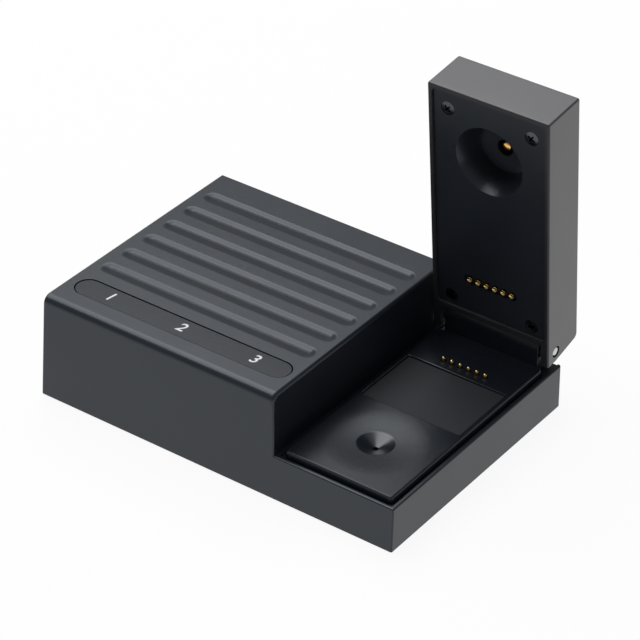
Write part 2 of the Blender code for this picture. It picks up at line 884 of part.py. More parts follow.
def build_contacts():
    block_top = plate_bottom - gap
    half = contact_row / 2 + block_margin
    block = add_object("contact_block", box(
        (tray_middle - half, contact_y - block_half_depth, part_floor),
        (tray_middle + half, contact_y + block_half_depth, block_top),
    ), insulator_black)
    bores = bmesh.new()
    bore_floor = part_floor + block_floor
    for x in contact_xs:
        profile = [(plunger_bore_radius, bore_floor), (plunger_bore_radius, block_top + overrun)]
        add_turned(bores, (x, contact_y), profile, sides=12)
    cut(block, bores, "bores")

    flange_top = plate_bottom - gap
    flange_bottom = flange_top - plunger_flange
    tip = plate_top + contact_proud
    for index, x in enumerate(contact_xs, 1):
        shoulder = tip - contact_radius - flange_bottom
        profile = [
            (plunger_flange_radius, 0), (plunger_flange_radius, plunger_flange),
            (contact_radius, plunger_flange),
        ]
        profile += [
            (contact_radius * math.cos(angle), shoulder + contact_radius * math.sin(angle))
            for angle in (0, math.radians(30), math.radians(55), math.radians(76))
        ]
        plunger = turned((0, 0), profile, sides=12)
        add_object(f"contact_pin_{index}", plunger, gold, location=(x, contact_y, flange_bottom))
        add_spring(f"contact_spring_{index}", (x, contact_y), bore_floor + gap, flange_bottom - gap)


def add_spring(name, spot, low, high):
    # A round wire wound at a steady pitch, standing on the bore's floor under the plunger.
    curve = bpy.data.curves.new(name, "CURVE")
    curve.dimensions = "3D"
    curve.bevel_depth = spring_wire
    curve.bevel_resolution = 0
    curve.use_fill_caps = True
    count = spring_turns * spring_turn_points
    spline = curve.splines.new("POLY")
    spline.points.add(count)
    start = low + spring_wire
    rise = high - low - 2 * spring_wire
    for i, point in enumerate(spline.points):
        angle = math.tau * i / spring_turn_points
        x = spot[0] + spring_radius * math.cos(angle)
        y = spot[1] + spring_radius * math.sin(angle)
        point.co = (x, y, start + rise * i / count, 1)
    curve.materials.append(steel)
    spring = bpy.data.objects.new(name, curve)
    bpy.context.scene.collection.objects.link(spring)


# Hinge pin and washers

def build_hinge_pin():
    low = lid_left + pin_recess
    high = right - pin_recess
    edge = pin_radius / 6
    narrow = pin_radius - edge
    profile = [(narrow, low), (pin_radius, low + edge), (pin_radius, high - edge), (narrow, high)]
    add_object("hinge_pin", turned((hinge_y, hinge_height), profile, "X", 20), steel)


def build_washers():
    hole_radius = pin_radius + gap
    starts = {"left": lid_left + ear + gap, "right": right - ear - gap - washer_thickness}
    for side, low in starts.items():
        profile = [(washer_radius, low), (washer_radius, low + washer_thickness)]
        washer = add_object(
            f"hinge_washer_{side}", turned((hinge_y, hinge_height), profile, "X", 24), washer_black,
        )
        hole = [(hole_radius, low - overrun), (hole_radius, low + washer_thickness + overrun)]
        cut(washer, turned((hinge_y, hinge_height), hole, "X", 20), "hole")


# Lid: everything below is placed about the hinge axis, X as in the housing, Y through the lid, Z along it

lid_screw_half_spacing = 12.2 * mm
lid_screw_low = 7.9 * mm
lid_screw_from_end = 6.3 * mm
lid_boss_radius = 2.6 * mm
lid_screw_radius = 0.9 * mm
lid_head_radius = 1.85 * mm
lid_screw_length = 7.0 * mm
cup_radius = 9.75 * mm
cup_floor_radius = 7.3 * mm
cup_depth = 7.4 * mm
cup_wall = 1.0 * mm
emitter_hole_radius = 2.6 * mm
emitter_radius = 1.6 * mm
emitter_edge = 0.3 * mm
emitter_recess = 1.0 * mm
lid_board_thickness = 1.0 * mm
lid_board_width = 18.0 * mm
pad_radius = 0.8 * mm
pad_thickness = 0.7 * mm
pad_proud = 0.3 * mm
pad_dish_radius = 0.62 * mm
pad_dish_depth = 0.35 * mm
strip_margin = 1.3 * mm
strip_height = 2.2 * mm
strip_flange = 1.2 * mm
strip_flange_thickness = 1.0 * mm

panel_face = inner_face + panel_inset
panel_back = panel_face + panel_thickness
shelf_face = panel_back + gap
lid_hollow_back = outer_face - lid_wall
lid_board_back = lid_hollow_back - gap
lid_board_face = lid_board_back - lid_board_thickness
hinge_relief = knuckle_radius + knuckle_clearance
panel_low = hinge_relief + hinge_wall
panel_high = lid_reach - lid_frame
cup_height = hinge_from_front - well_from_front
pads_height = contacts_from_hinge
cup_floor = panel_face + cup_depth
lid_screw_spots = [
    (lid_middle + side * lid_screw_half_spacing, height)
    for side in (-1, 1) for height in (lid_screw_low, lid_reach - lid_screw_from_end)
]


def panel_outline(grow, radius):
    return rectangle(
        lid_left + lid_frame + gap - grow, right - lid_frame - gap + grow,
        panel_low + gap - grow, panel_high - gap + grow, radius,
    )


def build_lid_shell():
    mesh = prism(lid_profile, lid_left, right, "X")
    bevel(mesh, sharp_edges(mesh, -lid_tail - lid_edge), lid_edge, 2)
    shell = add_object("lid_shell", mesh, lid_black, lid_axis)
    seat = panel_outline(gap, panel_corner)
    cut(shell, prism(seat, inner_face - overrun, shelf_face, "Y"), "panel_seat")
    hollow = panel_outline(gap - panel_shelf, panel_corner - panel_shelf / 2)
    cut(shell, prism(hollow, shelf_face - overrun, lid_hollow_back, "Y"), "hollow")
    posts = bmesh.new()
    holes = bmesh.new()
    post = [(lid_boss_radius, shelf_face), (lid_boss_radius, lid_hollow_back + gap)]
    narrow = lid_screw_radius + gap
    hole = [(narrow, shelf_face - overrun), (narrow, lid_screw_length)]
    for spot in lid_screw_spots:
        add_turned(posts, spot, post, "Y", 16)
        add_turned(holes, spot, hole, "Y", 12)
    join(shell, posts, "screw_posts")
    cut(shell, holes, "pilot_holes")

    # The knuckle turns in here, from straight below the axis to straight in front of it.
    relief = arc((0, 0), hinge_relief, 0, math.pi / 2, 8)
    relief += [
        (inner_face - overrun, hinge_relief), (inner_face - overrun, -lid_tail - overrun),
        (hinge_relief, -lid_tail - overrun),
    ]
    cut(shell, prism(relief, lid_left + ear, right - ear, "X"), "hinge_relief")
    bore = pin_radius + gap
    cut(shell, turned((0, 0), [(bore, lid_left - overrun), (bore, right + overrun)], "X", 20), "pin_hole")
    return shell


def build_lid_panel():
    plate = prism(panel_outline(0, panel_corner - gap), panel_face, panel_back, "Y")
    panel = add_object("lid_panel", plate, tray_black, lid_axis)
    spot = (tray_middle, cup_height)
    slope = (cup_radius - cup_floor_radius) / cup_depth
    cup_outside = [
        (cup_radius + cup_wall, panel_back - gap),
        (cup_radius + cup_wall - slope * panel_thickness, panel_back),
        (cup_floor_radius + cup_wall, cup_floor + cup_wall),
    ]
    join(panel, turned(spot, cup_outside, "Y", 36), "cup_wall")
    cup_inside = [(cup_radius + slope * overrun, panel_face - overrun), (cup_floor_radius, cup_floor)]
    cut(panel, turned(spot, cup_inside, "Y", 36), "cup")
    hole = [(emitter_hole_radius, cup_floor - overrun), (emitter_hole_radius, cup_floor + cup_wall + overrun)]
    cut(panel, turned(spot, hole, "Y", 20), "emitter_hole")
    slot = strip_outline(gap)
    cut(panel, prism(slot, panel_face - overrun, panel_back + overrun, "Y"), "contact_slot")
    screws = bmesh.new()
    for screw in lid_screw_spots:
        wide = lid_head_radius + slide_gap
        narrow = lid_screw_radius + gap
        profile = [
            (wide, panel_face - overrun), (wide, panel_face + gap),
            (narrow, panel_face + gap + wide - narrow), (narrow, panel_back + overrun),
        ]
        add_turned(screws, screw, profile, "Y", 16)
    cut(panel, screws, "screw_holes")
    return panel


def strip_outline(grow):
    half = contact_row / 2 + strip_margin + grow
    radius = strip_height / 2 + grow
    return stadium(tray_middle - half, tray_middle + half, pads_height, radius, 4)


def build_lid_parts():
    for index, spot in enumerate(lid_screw_spots, 1):
        low = panel_face + gap / 3
        head = lid_head_radius - lid_screw_radius
        profile = [
            (lid_head_radius, low), (lid_screw_radius, low + head),
            (lid_screw_radius, low + lid_screw_length - lid_screw_radius),
            (lid_screw_radius / 3, low + lid_screw_length),
        ]
        add_object(f"lid_screw_{index}", turned(spot, profile, "Y", 16), screw_black, lid_axis)

    half = lid_board_width / 2
    low = panel_low + panel_shelf + gap
    high = panel_high - panel_shelf - gap
    outline = rectangle(tray_middle - half, tray_middle + half, low, high)
    add_object("lid_board", prism(outline, lid_board_face, lid_board_back, "Y"), board_green, lid_axis)
    emitter_face = cup_floor + emitter_recess
    emitter = [
        (emitter_radius - emitter_edge, emitter_face), (emitter_radius, emitter_face + emitter_edge),
        (emitter_radius, lid_board_face - gap),
    ]
    spot = (tray_middle, cup_height)
    add_object("light_emitter", turned(spot, emitter, "Y", 20), gold, lid_axis)

    pad_face = panel_face - pad_proud
    strip_face = pad_face + pad_thickness + slide_gap
    bar = prism(strip_outline(0), strip_face, lid_board_face - gap, "Y")
    strip = add_object("contact_strip", bar, insulator_black, lid_axis)
    flange = strip_outline(strip_flange)
    flange_face = panel_back + gap
    join(strip, prism(flange, flange_face, flange_face + strip_flange_thickness, "Y"), "flange")
    for index, x in enumerate(contact_xs, 1):
        # A dished cup, which takes the round tip of its spring contact.
        pad = [(pad_radius, pad_face), (pad_radius, pad_face + pad_thickness)]
        cup = add_object(f"contact_pad_{index}", turned((x, pads_height), pad, "Y", 16), gold, lid_axis)
        floor = pad_face + pad_dish_depth
        bowl = [(pad_dish_radius + pad_dish_depth, pad_face - pad_dish_depth), (pad_dish_radius / 2, floor)]
        cut(cup, turned((x, pads_height), bowl, "Y", 16), "bowl")


build_main_housing()
build_tray_plate()
build_label_plate()
build_bottom_cover()
build_cover_screws()
build_feet()
build_indicator_window()
build_indicator()
build_main_board()
build_battery()
build_board_parts()
build_power_inlet()
build_power_switch()
build_contacts()
build_hinge_pin()
build_washers()
build_lid_shell()
build_lid_panel()
build_lid_parts()
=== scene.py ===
import json
import math

import bmesh
import bpy
from mathutils import Matrix, Vector


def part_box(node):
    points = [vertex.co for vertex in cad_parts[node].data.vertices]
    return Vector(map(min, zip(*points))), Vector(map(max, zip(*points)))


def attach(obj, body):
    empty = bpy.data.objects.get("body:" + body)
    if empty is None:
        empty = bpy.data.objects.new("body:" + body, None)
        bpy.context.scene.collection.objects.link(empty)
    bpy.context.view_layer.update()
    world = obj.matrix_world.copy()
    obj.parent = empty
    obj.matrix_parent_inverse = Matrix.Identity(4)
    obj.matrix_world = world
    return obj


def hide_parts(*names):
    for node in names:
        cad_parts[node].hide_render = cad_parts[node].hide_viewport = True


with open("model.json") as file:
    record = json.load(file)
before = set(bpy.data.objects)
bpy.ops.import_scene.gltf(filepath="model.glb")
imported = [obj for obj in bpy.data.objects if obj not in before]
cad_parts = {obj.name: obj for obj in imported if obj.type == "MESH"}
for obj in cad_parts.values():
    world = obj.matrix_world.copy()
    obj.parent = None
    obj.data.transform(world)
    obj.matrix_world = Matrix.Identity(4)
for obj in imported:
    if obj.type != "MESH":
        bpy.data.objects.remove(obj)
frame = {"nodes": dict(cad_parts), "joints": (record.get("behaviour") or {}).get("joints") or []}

mm = 0.001
near = 0.02 * mm         # how close a corner has to be to count as lying on a plane
sharp = math.radians(60)         # edges that turn by more than this count as sharp
smoothBelow = math.radians(32)
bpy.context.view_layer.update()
print("frame loaded:", len(frame["nodes"]), "nodes")


# Camera and studio

cameraSetup = {
    "azimuth": math.radians(35.37),
    "elevation": math.radians(34.11),
    "roll": math.radians(0.959),
    "distance": 749.7 * mm,
    "aim": Vector((3.88, -0.76, 25.53)) * mm,
    "lens": 165.5,       # for a sensor 36 wide
    "sensor": 36.0,
    "farClip": 20.0,
}

studio = {
    "worldStrength": 0.38,
    "floorSize": 6.0,
    "floorColour": (0.95, 0.95, 0.96, 1.0),
    "floorGlow": 0.92,       # how much of the floor is plain white to the camera, the rest keeps the shadow
    "lampSize": (1.75, 1.08),        # along Y and across it
    "lampPower": 19.6,
    "lampPlace": Vector((-0.57, 0.23, 1.35)),
}


def addObject(name, data):
    made = bpy.data.objects.new(name, data)
    bpy.context.scene.collection.objects.link(made)
    return made


def makeCamera():
    data = bpy.data.cameras.new("camera")
    data.lens = cameraSetup["lens"]
    data.sensor_width = cameraSetup["sensor"]
    data.clip_end = cameraSetup["farClip"]
    camera = addObject("camera", data)
    turn = Matrix.Rotation(cameraSetup["azimuth"], 4, "Z")
    tilt = Matrix.Rotation(math.pi / 2 - cameraSetup["elevation"], 4, "X")
    facing = turn @ tilt @ Matrix.Rotation(cameraSetup["roll"], 4, "Z")
    back = facing @ Vector((0, 0, 1))
    camera.matrix_world = Matrix.Translation(cameraSetup["aim"] + back * cameraSetup["distance"]) @ facing
    bpy.context.scene.camera = camera


def makeLamp():
    data = bpy.data.lights.new("overhead_lamp", "AREA")
    data.shape = "RECTANGLE"
    data.size, data.size_y = studio["lampSize"]
    data.energy = studio["lampPower"]
    lamp = addObject("overhead_lamp", data)
    place = studio["lampPlace"]
    away = place.normalized()
    along = (Vector((0, 1, 0)) - away * away.y).normalized()
    facing = Matrix((along, away.cross(along), away)).transposed()
    lamp.matrix_world = Matrix.Translation(place) @ facing.to_4x4()


# Finishes: shader maths on sockets is written as ordinary sums

class Wire:
    def __init__(self, finish, socket):
        self.finish = finish
        self.socket = socket

    def maths(self, operation, first, second):
        return self.finish.node("Math", {"operation": operation}, {0: first, 1: second})

    def __add__(self, other):
        return self.maths("ADD", self, other)

    def __sub__(self, other):
        return self.maths("SUBTRACT", self, other)

    def __rsub__(self, other):
        return self.maths("SUBTRACT", other, self)

    def __mul__(self, other):
        return self.maths("MULTIPLY", self, other)

    def __gt__(self, other):
        return self.maths("GREATER_THAN", self, other)

    def __lt__(self, other):
        return self.maths("LESS_THAN", self, other)

    def larger(self, other):
        return self.maths("MAXIMUM", self, other)

    def fraction(self):
        return self.finish.node("Math", {"operation": "FRACT"}, {0: self})

    __radd__ = __add__
    __rmul__ = __mul__


class Finish:
    def __init__(self, name, owner=None):
        self.owner = owner or bpy.data.materials.new(name)
        self.owner.use_nodes = True
        self.tree = self.owner.node_tree
        self.tree.nodes.clear()

    def node(self, kind, settings=None, inputs=None, output=0):
        made = self.tree.nodes.new("ShaderNode" + kind)
        for name, value in (settings or {}).items():
            setattr(made, name, value)
        for name, value in (inputs or {}).items():
            if isinstance(value, Wire):
                self.tree.links.new(value.socket, made.inputs[name])
            else:
                made.inputs[name].default_value = value
        return Wire(self, made.outputs[output]) if made.outputs else None

    def place(self):
        return self.node("TexCoord", output="Object")

    def seen(self):
        # 1 for what the camera sees, straight or in a gloss or through glass
        kinds = ("Is Camera Ray", "Is Glossy Ray", "Is Transmission Ray")
        camera, glossy, through = [self.node("LightPath", output=kind) for kind in kinds]
        return camera.larger(glossy).larger(through)

    def across(self, axis):
        return self.node("SeparateXYZ", {}, {"Vector": self.place()}, axis)

    def noise(self, size, detail=2.0, roughness=0.5):
        inputs = {"Vector": self.place(), "Scale": 1 / size, "Detail": detail, "Roughness": roughness}
        return self.node("TexNoise", {}, inputs)

    def mix(self, factor, first, second):
        return self.node("Mix", {"data_type": "RGBA"}, {0: factor, 6: first, 7: second}, output=2)

    def bump(self, height, depth):
        return self.node("Bump", {}, {"Height": height, "Distance": depth})

    def surface(self, inputs):
        shader = self.node("BsdfPrincipled", {}, inputs)
        self.node("OutputMaterial", {}, {"Surface": shader})
        return self.owner


def makeStudio():
    scene = bpy.context.scene
    scene.view_settings.view_transform = "Standard"
    scene.world = bpy.data.worlds.new("studio")
    world = Finish("studio", scene.world)
    background = world.node("Background", {}, {"Strength": studio["worldStrength"]})
    world.node("OutputWorld", {}, {"Surface": background})
    clearSelection()
    bpy.ops.mesh.primitive_plane_add(size=studio["floorSize"])
    floor = bpy.context.object
    floor.name = "floor"
    finish = Finish("floor")
    lit = finish.node("BsdfDiffuse", {}, {"Color": studio["floorColour"]})
    white = finish.node("Emission")
    mixed = finish.node("MixShader", {}, {0: finish.seen() * studio["floorGlow"], 1: lit, 2: white})
    finish.node("OutputMaterial", {}, {"Surface": mixed})
    floor.data.materials.append(finish.owner)


plastics = {                 # lengths are in millimetres
    "housing": {
        "tones": ((0.007, 0.0092, 0.0138, 1), (0.0118, 0.015, 0.0212, 1)),
        "roughness": 0.31, "grain": 0.24, "depth": 0.01, "ior": 1.53,
    },
    "lid": {
        "tones": ((0.015, 0.016, 0.019, 1), (0.024, 0.0252, 0.0292, 1)),
        "roughness": 0.36, "grain": 0.26, "depth": 0.014, "ior": 1.45, "tint": (0.97, 0.96, 1.0, 1),
        "coatFrom": -3.4, "coatRoughness": 0.6, "coatIor": 1.62,
    },
    "tray": {
        "tones": ((0.005, 0.0066, 0.01, 1), (0.0085, 0.0108, 0.0155, 1)),
        "roughness": 0.28, "grain": 0.2, "depth": 0.005, "ior": 1.43,
        "polishWithin": 4.85, "coatRoughness": 0.2, "coatIor": 1.38,
    },
    "panel": {
        "tones": ((0.011, 0.0132, 0.0178, 1), (0.0165, 0.0195, 0.0258, 1)),
        "roughness": 0.3, "grain": 0.2, "depth": 0.006, "ior": 1.44,
    },
    "cover": {
        "tones": ((0.01, 0.0105, 0.012, 1), (0.016, 0.0165, 0.018, 1)),
        "roughness": 0.55, "grain": 0.3, "depth": 0.02,
    },
    "window": {
        "tones": ((0.0035, 0.0046, 0.0068, 1), (0.006, 0.0075, 0.0105, 1)),
        "roughness": 0.29, "grain": 0.22, "depth": 0.006, "ior": 1.43,
    },
    "label": {
        "tones": ((0.015, 0.0165, 0.0195, 1), (0.0215, 0.0232, 0.0268, 1)),
        "roughness": 0.58, "grain": 0.15, "depth": 0.003, "ior": 1.38,
    },
    "insulator": {
        "tones": ((0.008, 0.008, 0.0085, 1), (0.014, 0.014, 0.015, 1)),
        "roughness": 0.5, "grain": 0.25, "depth": 0.008,
    },
    "rubber": {
        "tones": ((0.006, 0.006, 0.0065, 1), (0.014, 0.014, 0.0145, 1)),
        "roughness": 0.82, "grain": 0.18, "depth": 0.015,
    },
    "baffle": {
        "tones": ((0.62, 0.62, 0.6, 1), (0.72, 0.72, 0.7, 1)),
        "roughness": 0.5, "grain": 0.3, "depth": 0.005,
    },
    "nylon": {
        "tones": ((0.01, 0.01, 0.0105, 1), (0.016, 0.016, 0.017, 1)),
        "roughness": 0.45, "grain": 0.25, "depth": 0.004,
    },
    "epoxy": {
        "tones": ((0.01, 0.01, 0.011, 1), (0.024, 0.024, 0.026, 1)),
        "roughness": 0.5, "grain": 0.15, "depth": 0.01,
    },
    "ink": {
        "tones": ((0.72, 0.73, 0.74, 1), (0.84, 0.85, 0.86, 1)),
        "roughness": 0.55, "grain": 0.12, "depth": 0.002,
    },
}
plasticLook = {
    "patch": 14 * mm, "patchShare": 0.3, "patchGloss": 0.1, "grainGloss": 0.06,
    "ior": 1.5, "tint": (0.86, 0.93, 1.0, 1),
}


def makePlastic(name):
    # Moulded plastic: a fine spark-eroded grain, slow patches in tone and slightly uneven gloss
    look = plastics[name]
    finish = Finish(name + "_plastic")
    grain = finish.noise(look["grain"] * mm, 3.0, 0.6)
    patches = finish.noise(plasticLook["patch"])
    share = plasticLook["patchShare"]
    gloss = (patches - 0.5) * plasticLook["patchGloss"] + (grain - 0.5) * plasticLook["grainGloss"]
    inputs = {
        "Base Color": finish.mix(grain * (1 - share) + patches * share, *look["tones"]),
        "Roughness": look["roughness"] + gloss,
        "Normal": finish.bump(grain, look["depth"] * mm),
        "IOR": look.get("ior", plasticLook["ior"]),
        "Specular Tint": look.get("tint", plasticLook["tint"]),
    }
    if "coatFrom" in look:
        # The lid's outside is lacquered, its inner face is bare
        outward = finish.across("Y") * math.cos(lean) + finish.across("Z") * math.sin(lean)
        start = hinge.y * math.cos(lean) + hinge.z * math.sin(lean) + look["coatFrom"] * mm
        inputs["Coat Weight"] = outward > start
    if "polishWithin" in look:
        # The rear of the well is polished by use
        spot = middleOf("light_sensor")
        spot.z = plateTop
        away = finish.node("VectorMath", {"operation": "DISTANCE"}, {0: finish.place(), 1: spot}, "Value")
        inputs["Coat Weight"] = (away < look["polishWithin"] * mm) * (finish.across("Y") > spot.y)
    if "coatIor" in look:
        inputs["Coat Roughness"] = look["coatRoughness"]
        inputs["Coat IOR"] = look["coatIor"]
    return finish.surface(inputs)


metals = {
    "gold": {"tones": ((0.52, 0.34, 0.11, 1), (0.82, 0.60, 0.26, 1)), "roughness": 0.17},
    "emitter": {"tones": ((0.78, 0.38, 0.08, 1), (0.98, 0.62, 0.22, 1)), "roughness": 0.18},
    "steel": {"tones": ((0.50, 0.50, 0.50, 1), (0.66, 0.66, 0.67, 1)), "roughness": 0.26},
    "screw": {"tones": ((0.045, 0.047, 0.052, 1), (0.120, 0.123, 0.132, 1)), "roughness": 0.24},
}
metalLook = {"marks": 0.09 * mm, "markDepth": 0.002 * mm, "dull": 1.1 * mm, "dullGloss": 0.16}


def makeMetal(name):
    # Plated or polished metal: faint tool marks and a few dull patches
    look = metals[name]
    finish = Finish(name + "_metal")
    marks = finish.noise(metalLook["marks"])
    dull = finish.noise(metalLook["dull"], 3.0)
    return finish.surface({
        "Base Color": finish.mix(dull, *look["tones"]),
        "Metallic": 1.0,
        "Roughness": look["roughness"] + (dull - 0.5) * metalLook["dullGloss"],
        "Normal": finish.bump(marks, metalLook["markDepth"]),
    })


boards = {
    "green": {"mask": (0.010, 0.072, 0.029, 1), "track": (0.025, 0.170, 0.060, 1)},
    "black": {"mask": (0.006, 0.007, 0.008, 1), "track": (0.012, 0.013, 0.015, 1)},
}
boardLook = {
    "pitch": 2.54 * mm, "trackShare": 0.16, "area": 3.0 * mm, "areaShare": 0.52, "relief": 0.03 * mm,
    "fibre": 0.4 * mm, "roughness": 0.34, "fibreGloss": 0.12, "fibreShade": 0.3,
}


def makeBoard(name):
    # Solder mask over copper: tracks on a grid show through, lengthways in some areas and crossways in others
    look = boards[name]
    finish = Finish(name + "_board")
    steps = 1 / boardLook["pitch"]
    lengthways = (finish.across("X") * steps).fraction() < boardLook["trackShare"]
    crossways = (finish.across("Y") * steps).fraction() < boardLook["trackShare"]
    area = finish.noise(boardLook["area"], 1.0) > boardLook["areaShare"]
    tracks = (lengthways * area).larger(crossways * (1 - area))
    fibre = finish.noise(boardLook["fibre"])
    base = finish.mix(fibre * boardLook["fibreShade"], look["mask"], look["track"])
    return finish.surface({
        "Base Color": finish.mix(tracks, base, look["track"]),
        "Roughness": boardLook["roughness"] + fibre * boardLook["fibreGloss"],
        "Normal": finish.bump(tracks, boardLook["relief"]),
    })


cell = {
    "tones": ((0.020, 0.070, 0.220, 1), (0.030, 0.100, 0.300, 1)), "band": (0.60, 0.61, 0.62, 1),
    "bandShare": 0.86, "wrinkle": 1.6 * mm, "wrinkleDepth": 0.04 * mm, "wrinkleGloss": 0.14,
    "roughness": 0.28,
}


def makeCellWrap():
    # Shrink wrap with a paler band near the button end, and slight wrinkles
    finish = Finish("cell_wrap")
    low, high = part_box("battery_cell")
    band = finish.across("X") > low.x + (high.x - low.x) * cell["bandShare"]
    wrinkles = finish.noise(cell["wrinkle"], 3.0)
    return finish.surface({
        "Base Color": finish.mix(band, finish.mix(wrinkles, *cell["tones"]), cell["band"]),
        "Roughness": cell["roughness"] + wrinkles * cell["wrinkleGloss"],
        "Normal": finish.bump(wrinkles, cell["wrinkleDepth"]),
    })


lampLook = {
    "tones": ((0.70, 0.72, 0.72, 1), (0.84, 0.86, 0.86, 1)), "haze": 0.8 * mm, "hazeDepth": 0.01 * mm,
    "roughness": 0.10, "hazeGloss": 0.15, "clear": 0.6,
}


def makeLampEpoxy():
    finish = Finish("lamp_epoxy")
    haze = finish.noise(lampLook["haze"])
    return finish.surface({
        "Base Color": finish.mix(haze, *lampLook["tones"]),
        "Roughness": lampLook["roughness"] + haze * lampLook["hazeGloss"],
        "Transmission Weight": lampLook["clear"],
        "Normal": finish.bump(haze, lampLook["hazeDepth"]),
    })


# Modelling helpers

def clearSelection():
    bpy.ops.object.select_all(action="DESELECT")


def pick(*pieces):
    clearSelection()
    for piece in pieces:
        piece.select_set(True)
    bpy.context.view_layer.objects.active = pieces[0]


def settle(piece):
    pick(piece)
    bpy.ops.object.transform_apply(location=True, rotation=True, scale=True)
    return piece


def lies(part, **where):
    # True when every corner is on the place, or between the two places, given for each axis
    for axis, place in where.items():
        low, high = place if isinstance(place, tuple) else (place, place)
        values = [getattr(corner.co, axis) for corner in getattr(part, "verts", [part])]
        if min(values) < low - near or max(values) > high + near:
            return False
    return True


def choose(piece, kind, test=None, **where):
    # Selects what passes the test or lies at the place given, and everything when neither is given
    pick(piece)
    bpy.ops.object.mode_set(mode="EDIT")
    bpy.ops.mesh.select_mode(type=kind)
    bpy.ops.mesh.select_all(action="DESELECT")
    shape = bmesh.from_edit_mesh(piece.data)
    for part in {"FACE": shape.faces, "EDGE": shape.edges, "VERT": shape.verts}[kind]:
        if test(part) if test else lies(part, **where):
            part.select_set(True)
    shape.select_flush_mode()
    bmesh.update_edit_mesh(piece.data)


def leaveEdit():
    bpy.ops.object.mode_set(mode="OBJECT")


def roundEdges(piece, radius, steps, test=None, **where):
    choose(piece, "EDGE", test, **where)
    bpy.ops.mesh.bevel(offset=radius, segments=steps, affect="EDGES", clamp_overlap=False)
    leaveEdit()


def raiseFaces(piece, move, **where):
    choose(piece, "FACE", **where)
    bpy.ops.mesh.extrude_region_move(TRANSFORM_OT_translate={"value": move})
    leaveEdit()


def moveCorners(piece, move, **where):
    choose(piece, "VERT", **where)
    bpy.ops.transform.translate(value=move)
    leaveEdit()


def splitFaces(piece, place, way):
    choose(piece, "FACE")
    bpy.ops.mesh.bisect(plane_co=place, plane_no=way)
    leaveEdit()


def addBlock(name, low, high):
    low, high = Vector(low), Vector(high)
    clearSelection()
    bpy.ops.mesh.primitive_cube_add(size=1, location=(low + high) / 2, scale=high - low)
    piece = settle(bpy.context.object)
    piece.name = name
    return piece


def addPlateBlock(name, low, high, corner, steps=6, axis="z"):
    # A block whose edges along one axis are rounded
    piece = addBlock(name, low, high)
    others = [each for each in "xyz" if each != axis]

    def upright(edge):
        a, b = (end.co for end in edge.verts)
        return all(abs(getattr(a, each) - getattr(b, each)) < near for each in others)

    roundEdges(piece, corner, steps, upright)
    return piece


directions = {
    "X": (Vector((1, 0, 0)), (0, math.pi / 2, 0)),
    "Y": (Vector((0, 1, 0)), (-math.pi / 2, 0, 0)),
    "Z": (Vector((0, 0, 1)), (0, 0, 0)),
}


def addTurned(name, centre, profile, axis="Z", sides=48):
    # A disc drawn out along its axis, ring by ring: the profile holds each ring's radius and place
    way, facing = directions[axis]
    start = Vector(centre)
    start -= way * start.dot(way)
    radius, along = profile[0]
    clearSelection()
    bpy.ops.mesh.primitive_circle_add(
        vertices=sides, radius=radius, fill_type="NGON", location=start + way * along, rotation=facing,
    )
    piece = settle(bpy.context.object)
    piece.name = name
    choose(piece, "FACE")
    for nextRadius, nextAlong in profile[1:]:
        bpy.ops.mesh.extrude_region_move(TRANSFORM_OT_translate={"value": way * (nextAlong - along)})
        share = nextRadius / radius
        bpy.ops.transform.resize(value=(share, share, share), center_override=start + way * nextAlong)
        radius, along = nextRadius, nextAlong
    bpy.ops.mesh.select_all(action="SELECT")
    bpy.ops.mesh.normals_make_consistent(inside=False)
    leaveEdit()
    return piece


def softEdge(radius, face, edge, steps):
    # The rings of a turned piece's rounded edge, from its side to its flat end
    angles = [math.pi / 2 * step / steps for step in range(steps + 1)]
    return [(radius - edge * (1 - math.cos(angle)), face + edge * (1 - math.sin(angle))) for angle in angles]


def addStadium(name, ends, middle, radius, levels, axis="Z", sides=48, drift=0.0):
    # A round-ended bar along X, drawn out level by level: each is (inset, place along the axis).
    # With a drift, the levels move to the rear by that share of their inset.
    low, high = ends
    way, facing = directions[axis]
    across = Vector((0, middle, 0)) if axis == "Z" else Vector((0, 0, middle))
    turn = (0, 0, math.pi / sides) if axis == "Z" else (facing[0], math.pi / sides, 0)
    inset, along = levels[0]
    clearSelection()
    bpy.ops.mesh.primitive_circle_add(
        vertices=sides, radius=radius, fill_type="NGON", rotation=turn,
        location=Vector((low + radius, 0, 0)) + across + way * along,
    )
    piece = settle(bpy.context.object)
    piece.name = name
    choose(piece, "VERT", lambda corner: corner.co.x > low + radius)
    bpy.ops.transform.translate(value=(high - low - 2 * radius, 0, 0))
    bpy.ops.mesh.select_mode(type="FACE")
    bpy.ops.mesh.select_all(action="SELECT")
    for nextInset, nextAlong in levels[1:]:
        move = way * (nextAlong - along)
        if nextInset == inset:
            bpy.ops.mesh.extrude_region_move(TRANSFORM_OT_translate={"value": move})
        else:
            bpy.ops.mesh.inset(thickness=nextInset - inset)
            bpy.ops.transform.translate(value=move + Vector((0, drift * (nextInset - inset), 0)))
        inset, along = nextInset, nextAlong
    bpy.ops.mesh.select_all(action="SELECT")
    bpy.ops.mesh.normals_make_consistent(inside=False)
    leaveEdit()
    return piece


def cutWith(piece, cutter, operation="DIFFERENCE"):
    pick(piece)
    change = piece.modifiers.new("cut", "BOOLEAN")
    change.operation = operation
    change.solver = "EXACT"
    change.object = cutter
    bpy.ops.object.modifier_apply(modifier="cut")
    bpy.data.objects.remove(cutter, do_unlink=True)


def joined(pieces):
    pick(*pieces)
    if len(pieces) > 1:
        bpy.ops.object.join()
    return bpy.context.object


def rods(centres, radius, ends, axis="Z", sides=48):
    # Round bars along the axis through the places given, as one piece
    profile = [(radius, end) for end in ends]
    return joined([addTurned("rod", centre, profile, axis, sides) for centre in centres])


def copyOf(piece, name, move=(0, 0, 0)):
    twin = piece.copy()
    twin.data = piece.data.copy()
    twin.name = name
    bpy.context.scene.collection.objects.link(twin)
    twin.location = Vector(move)
    return settle(twin)


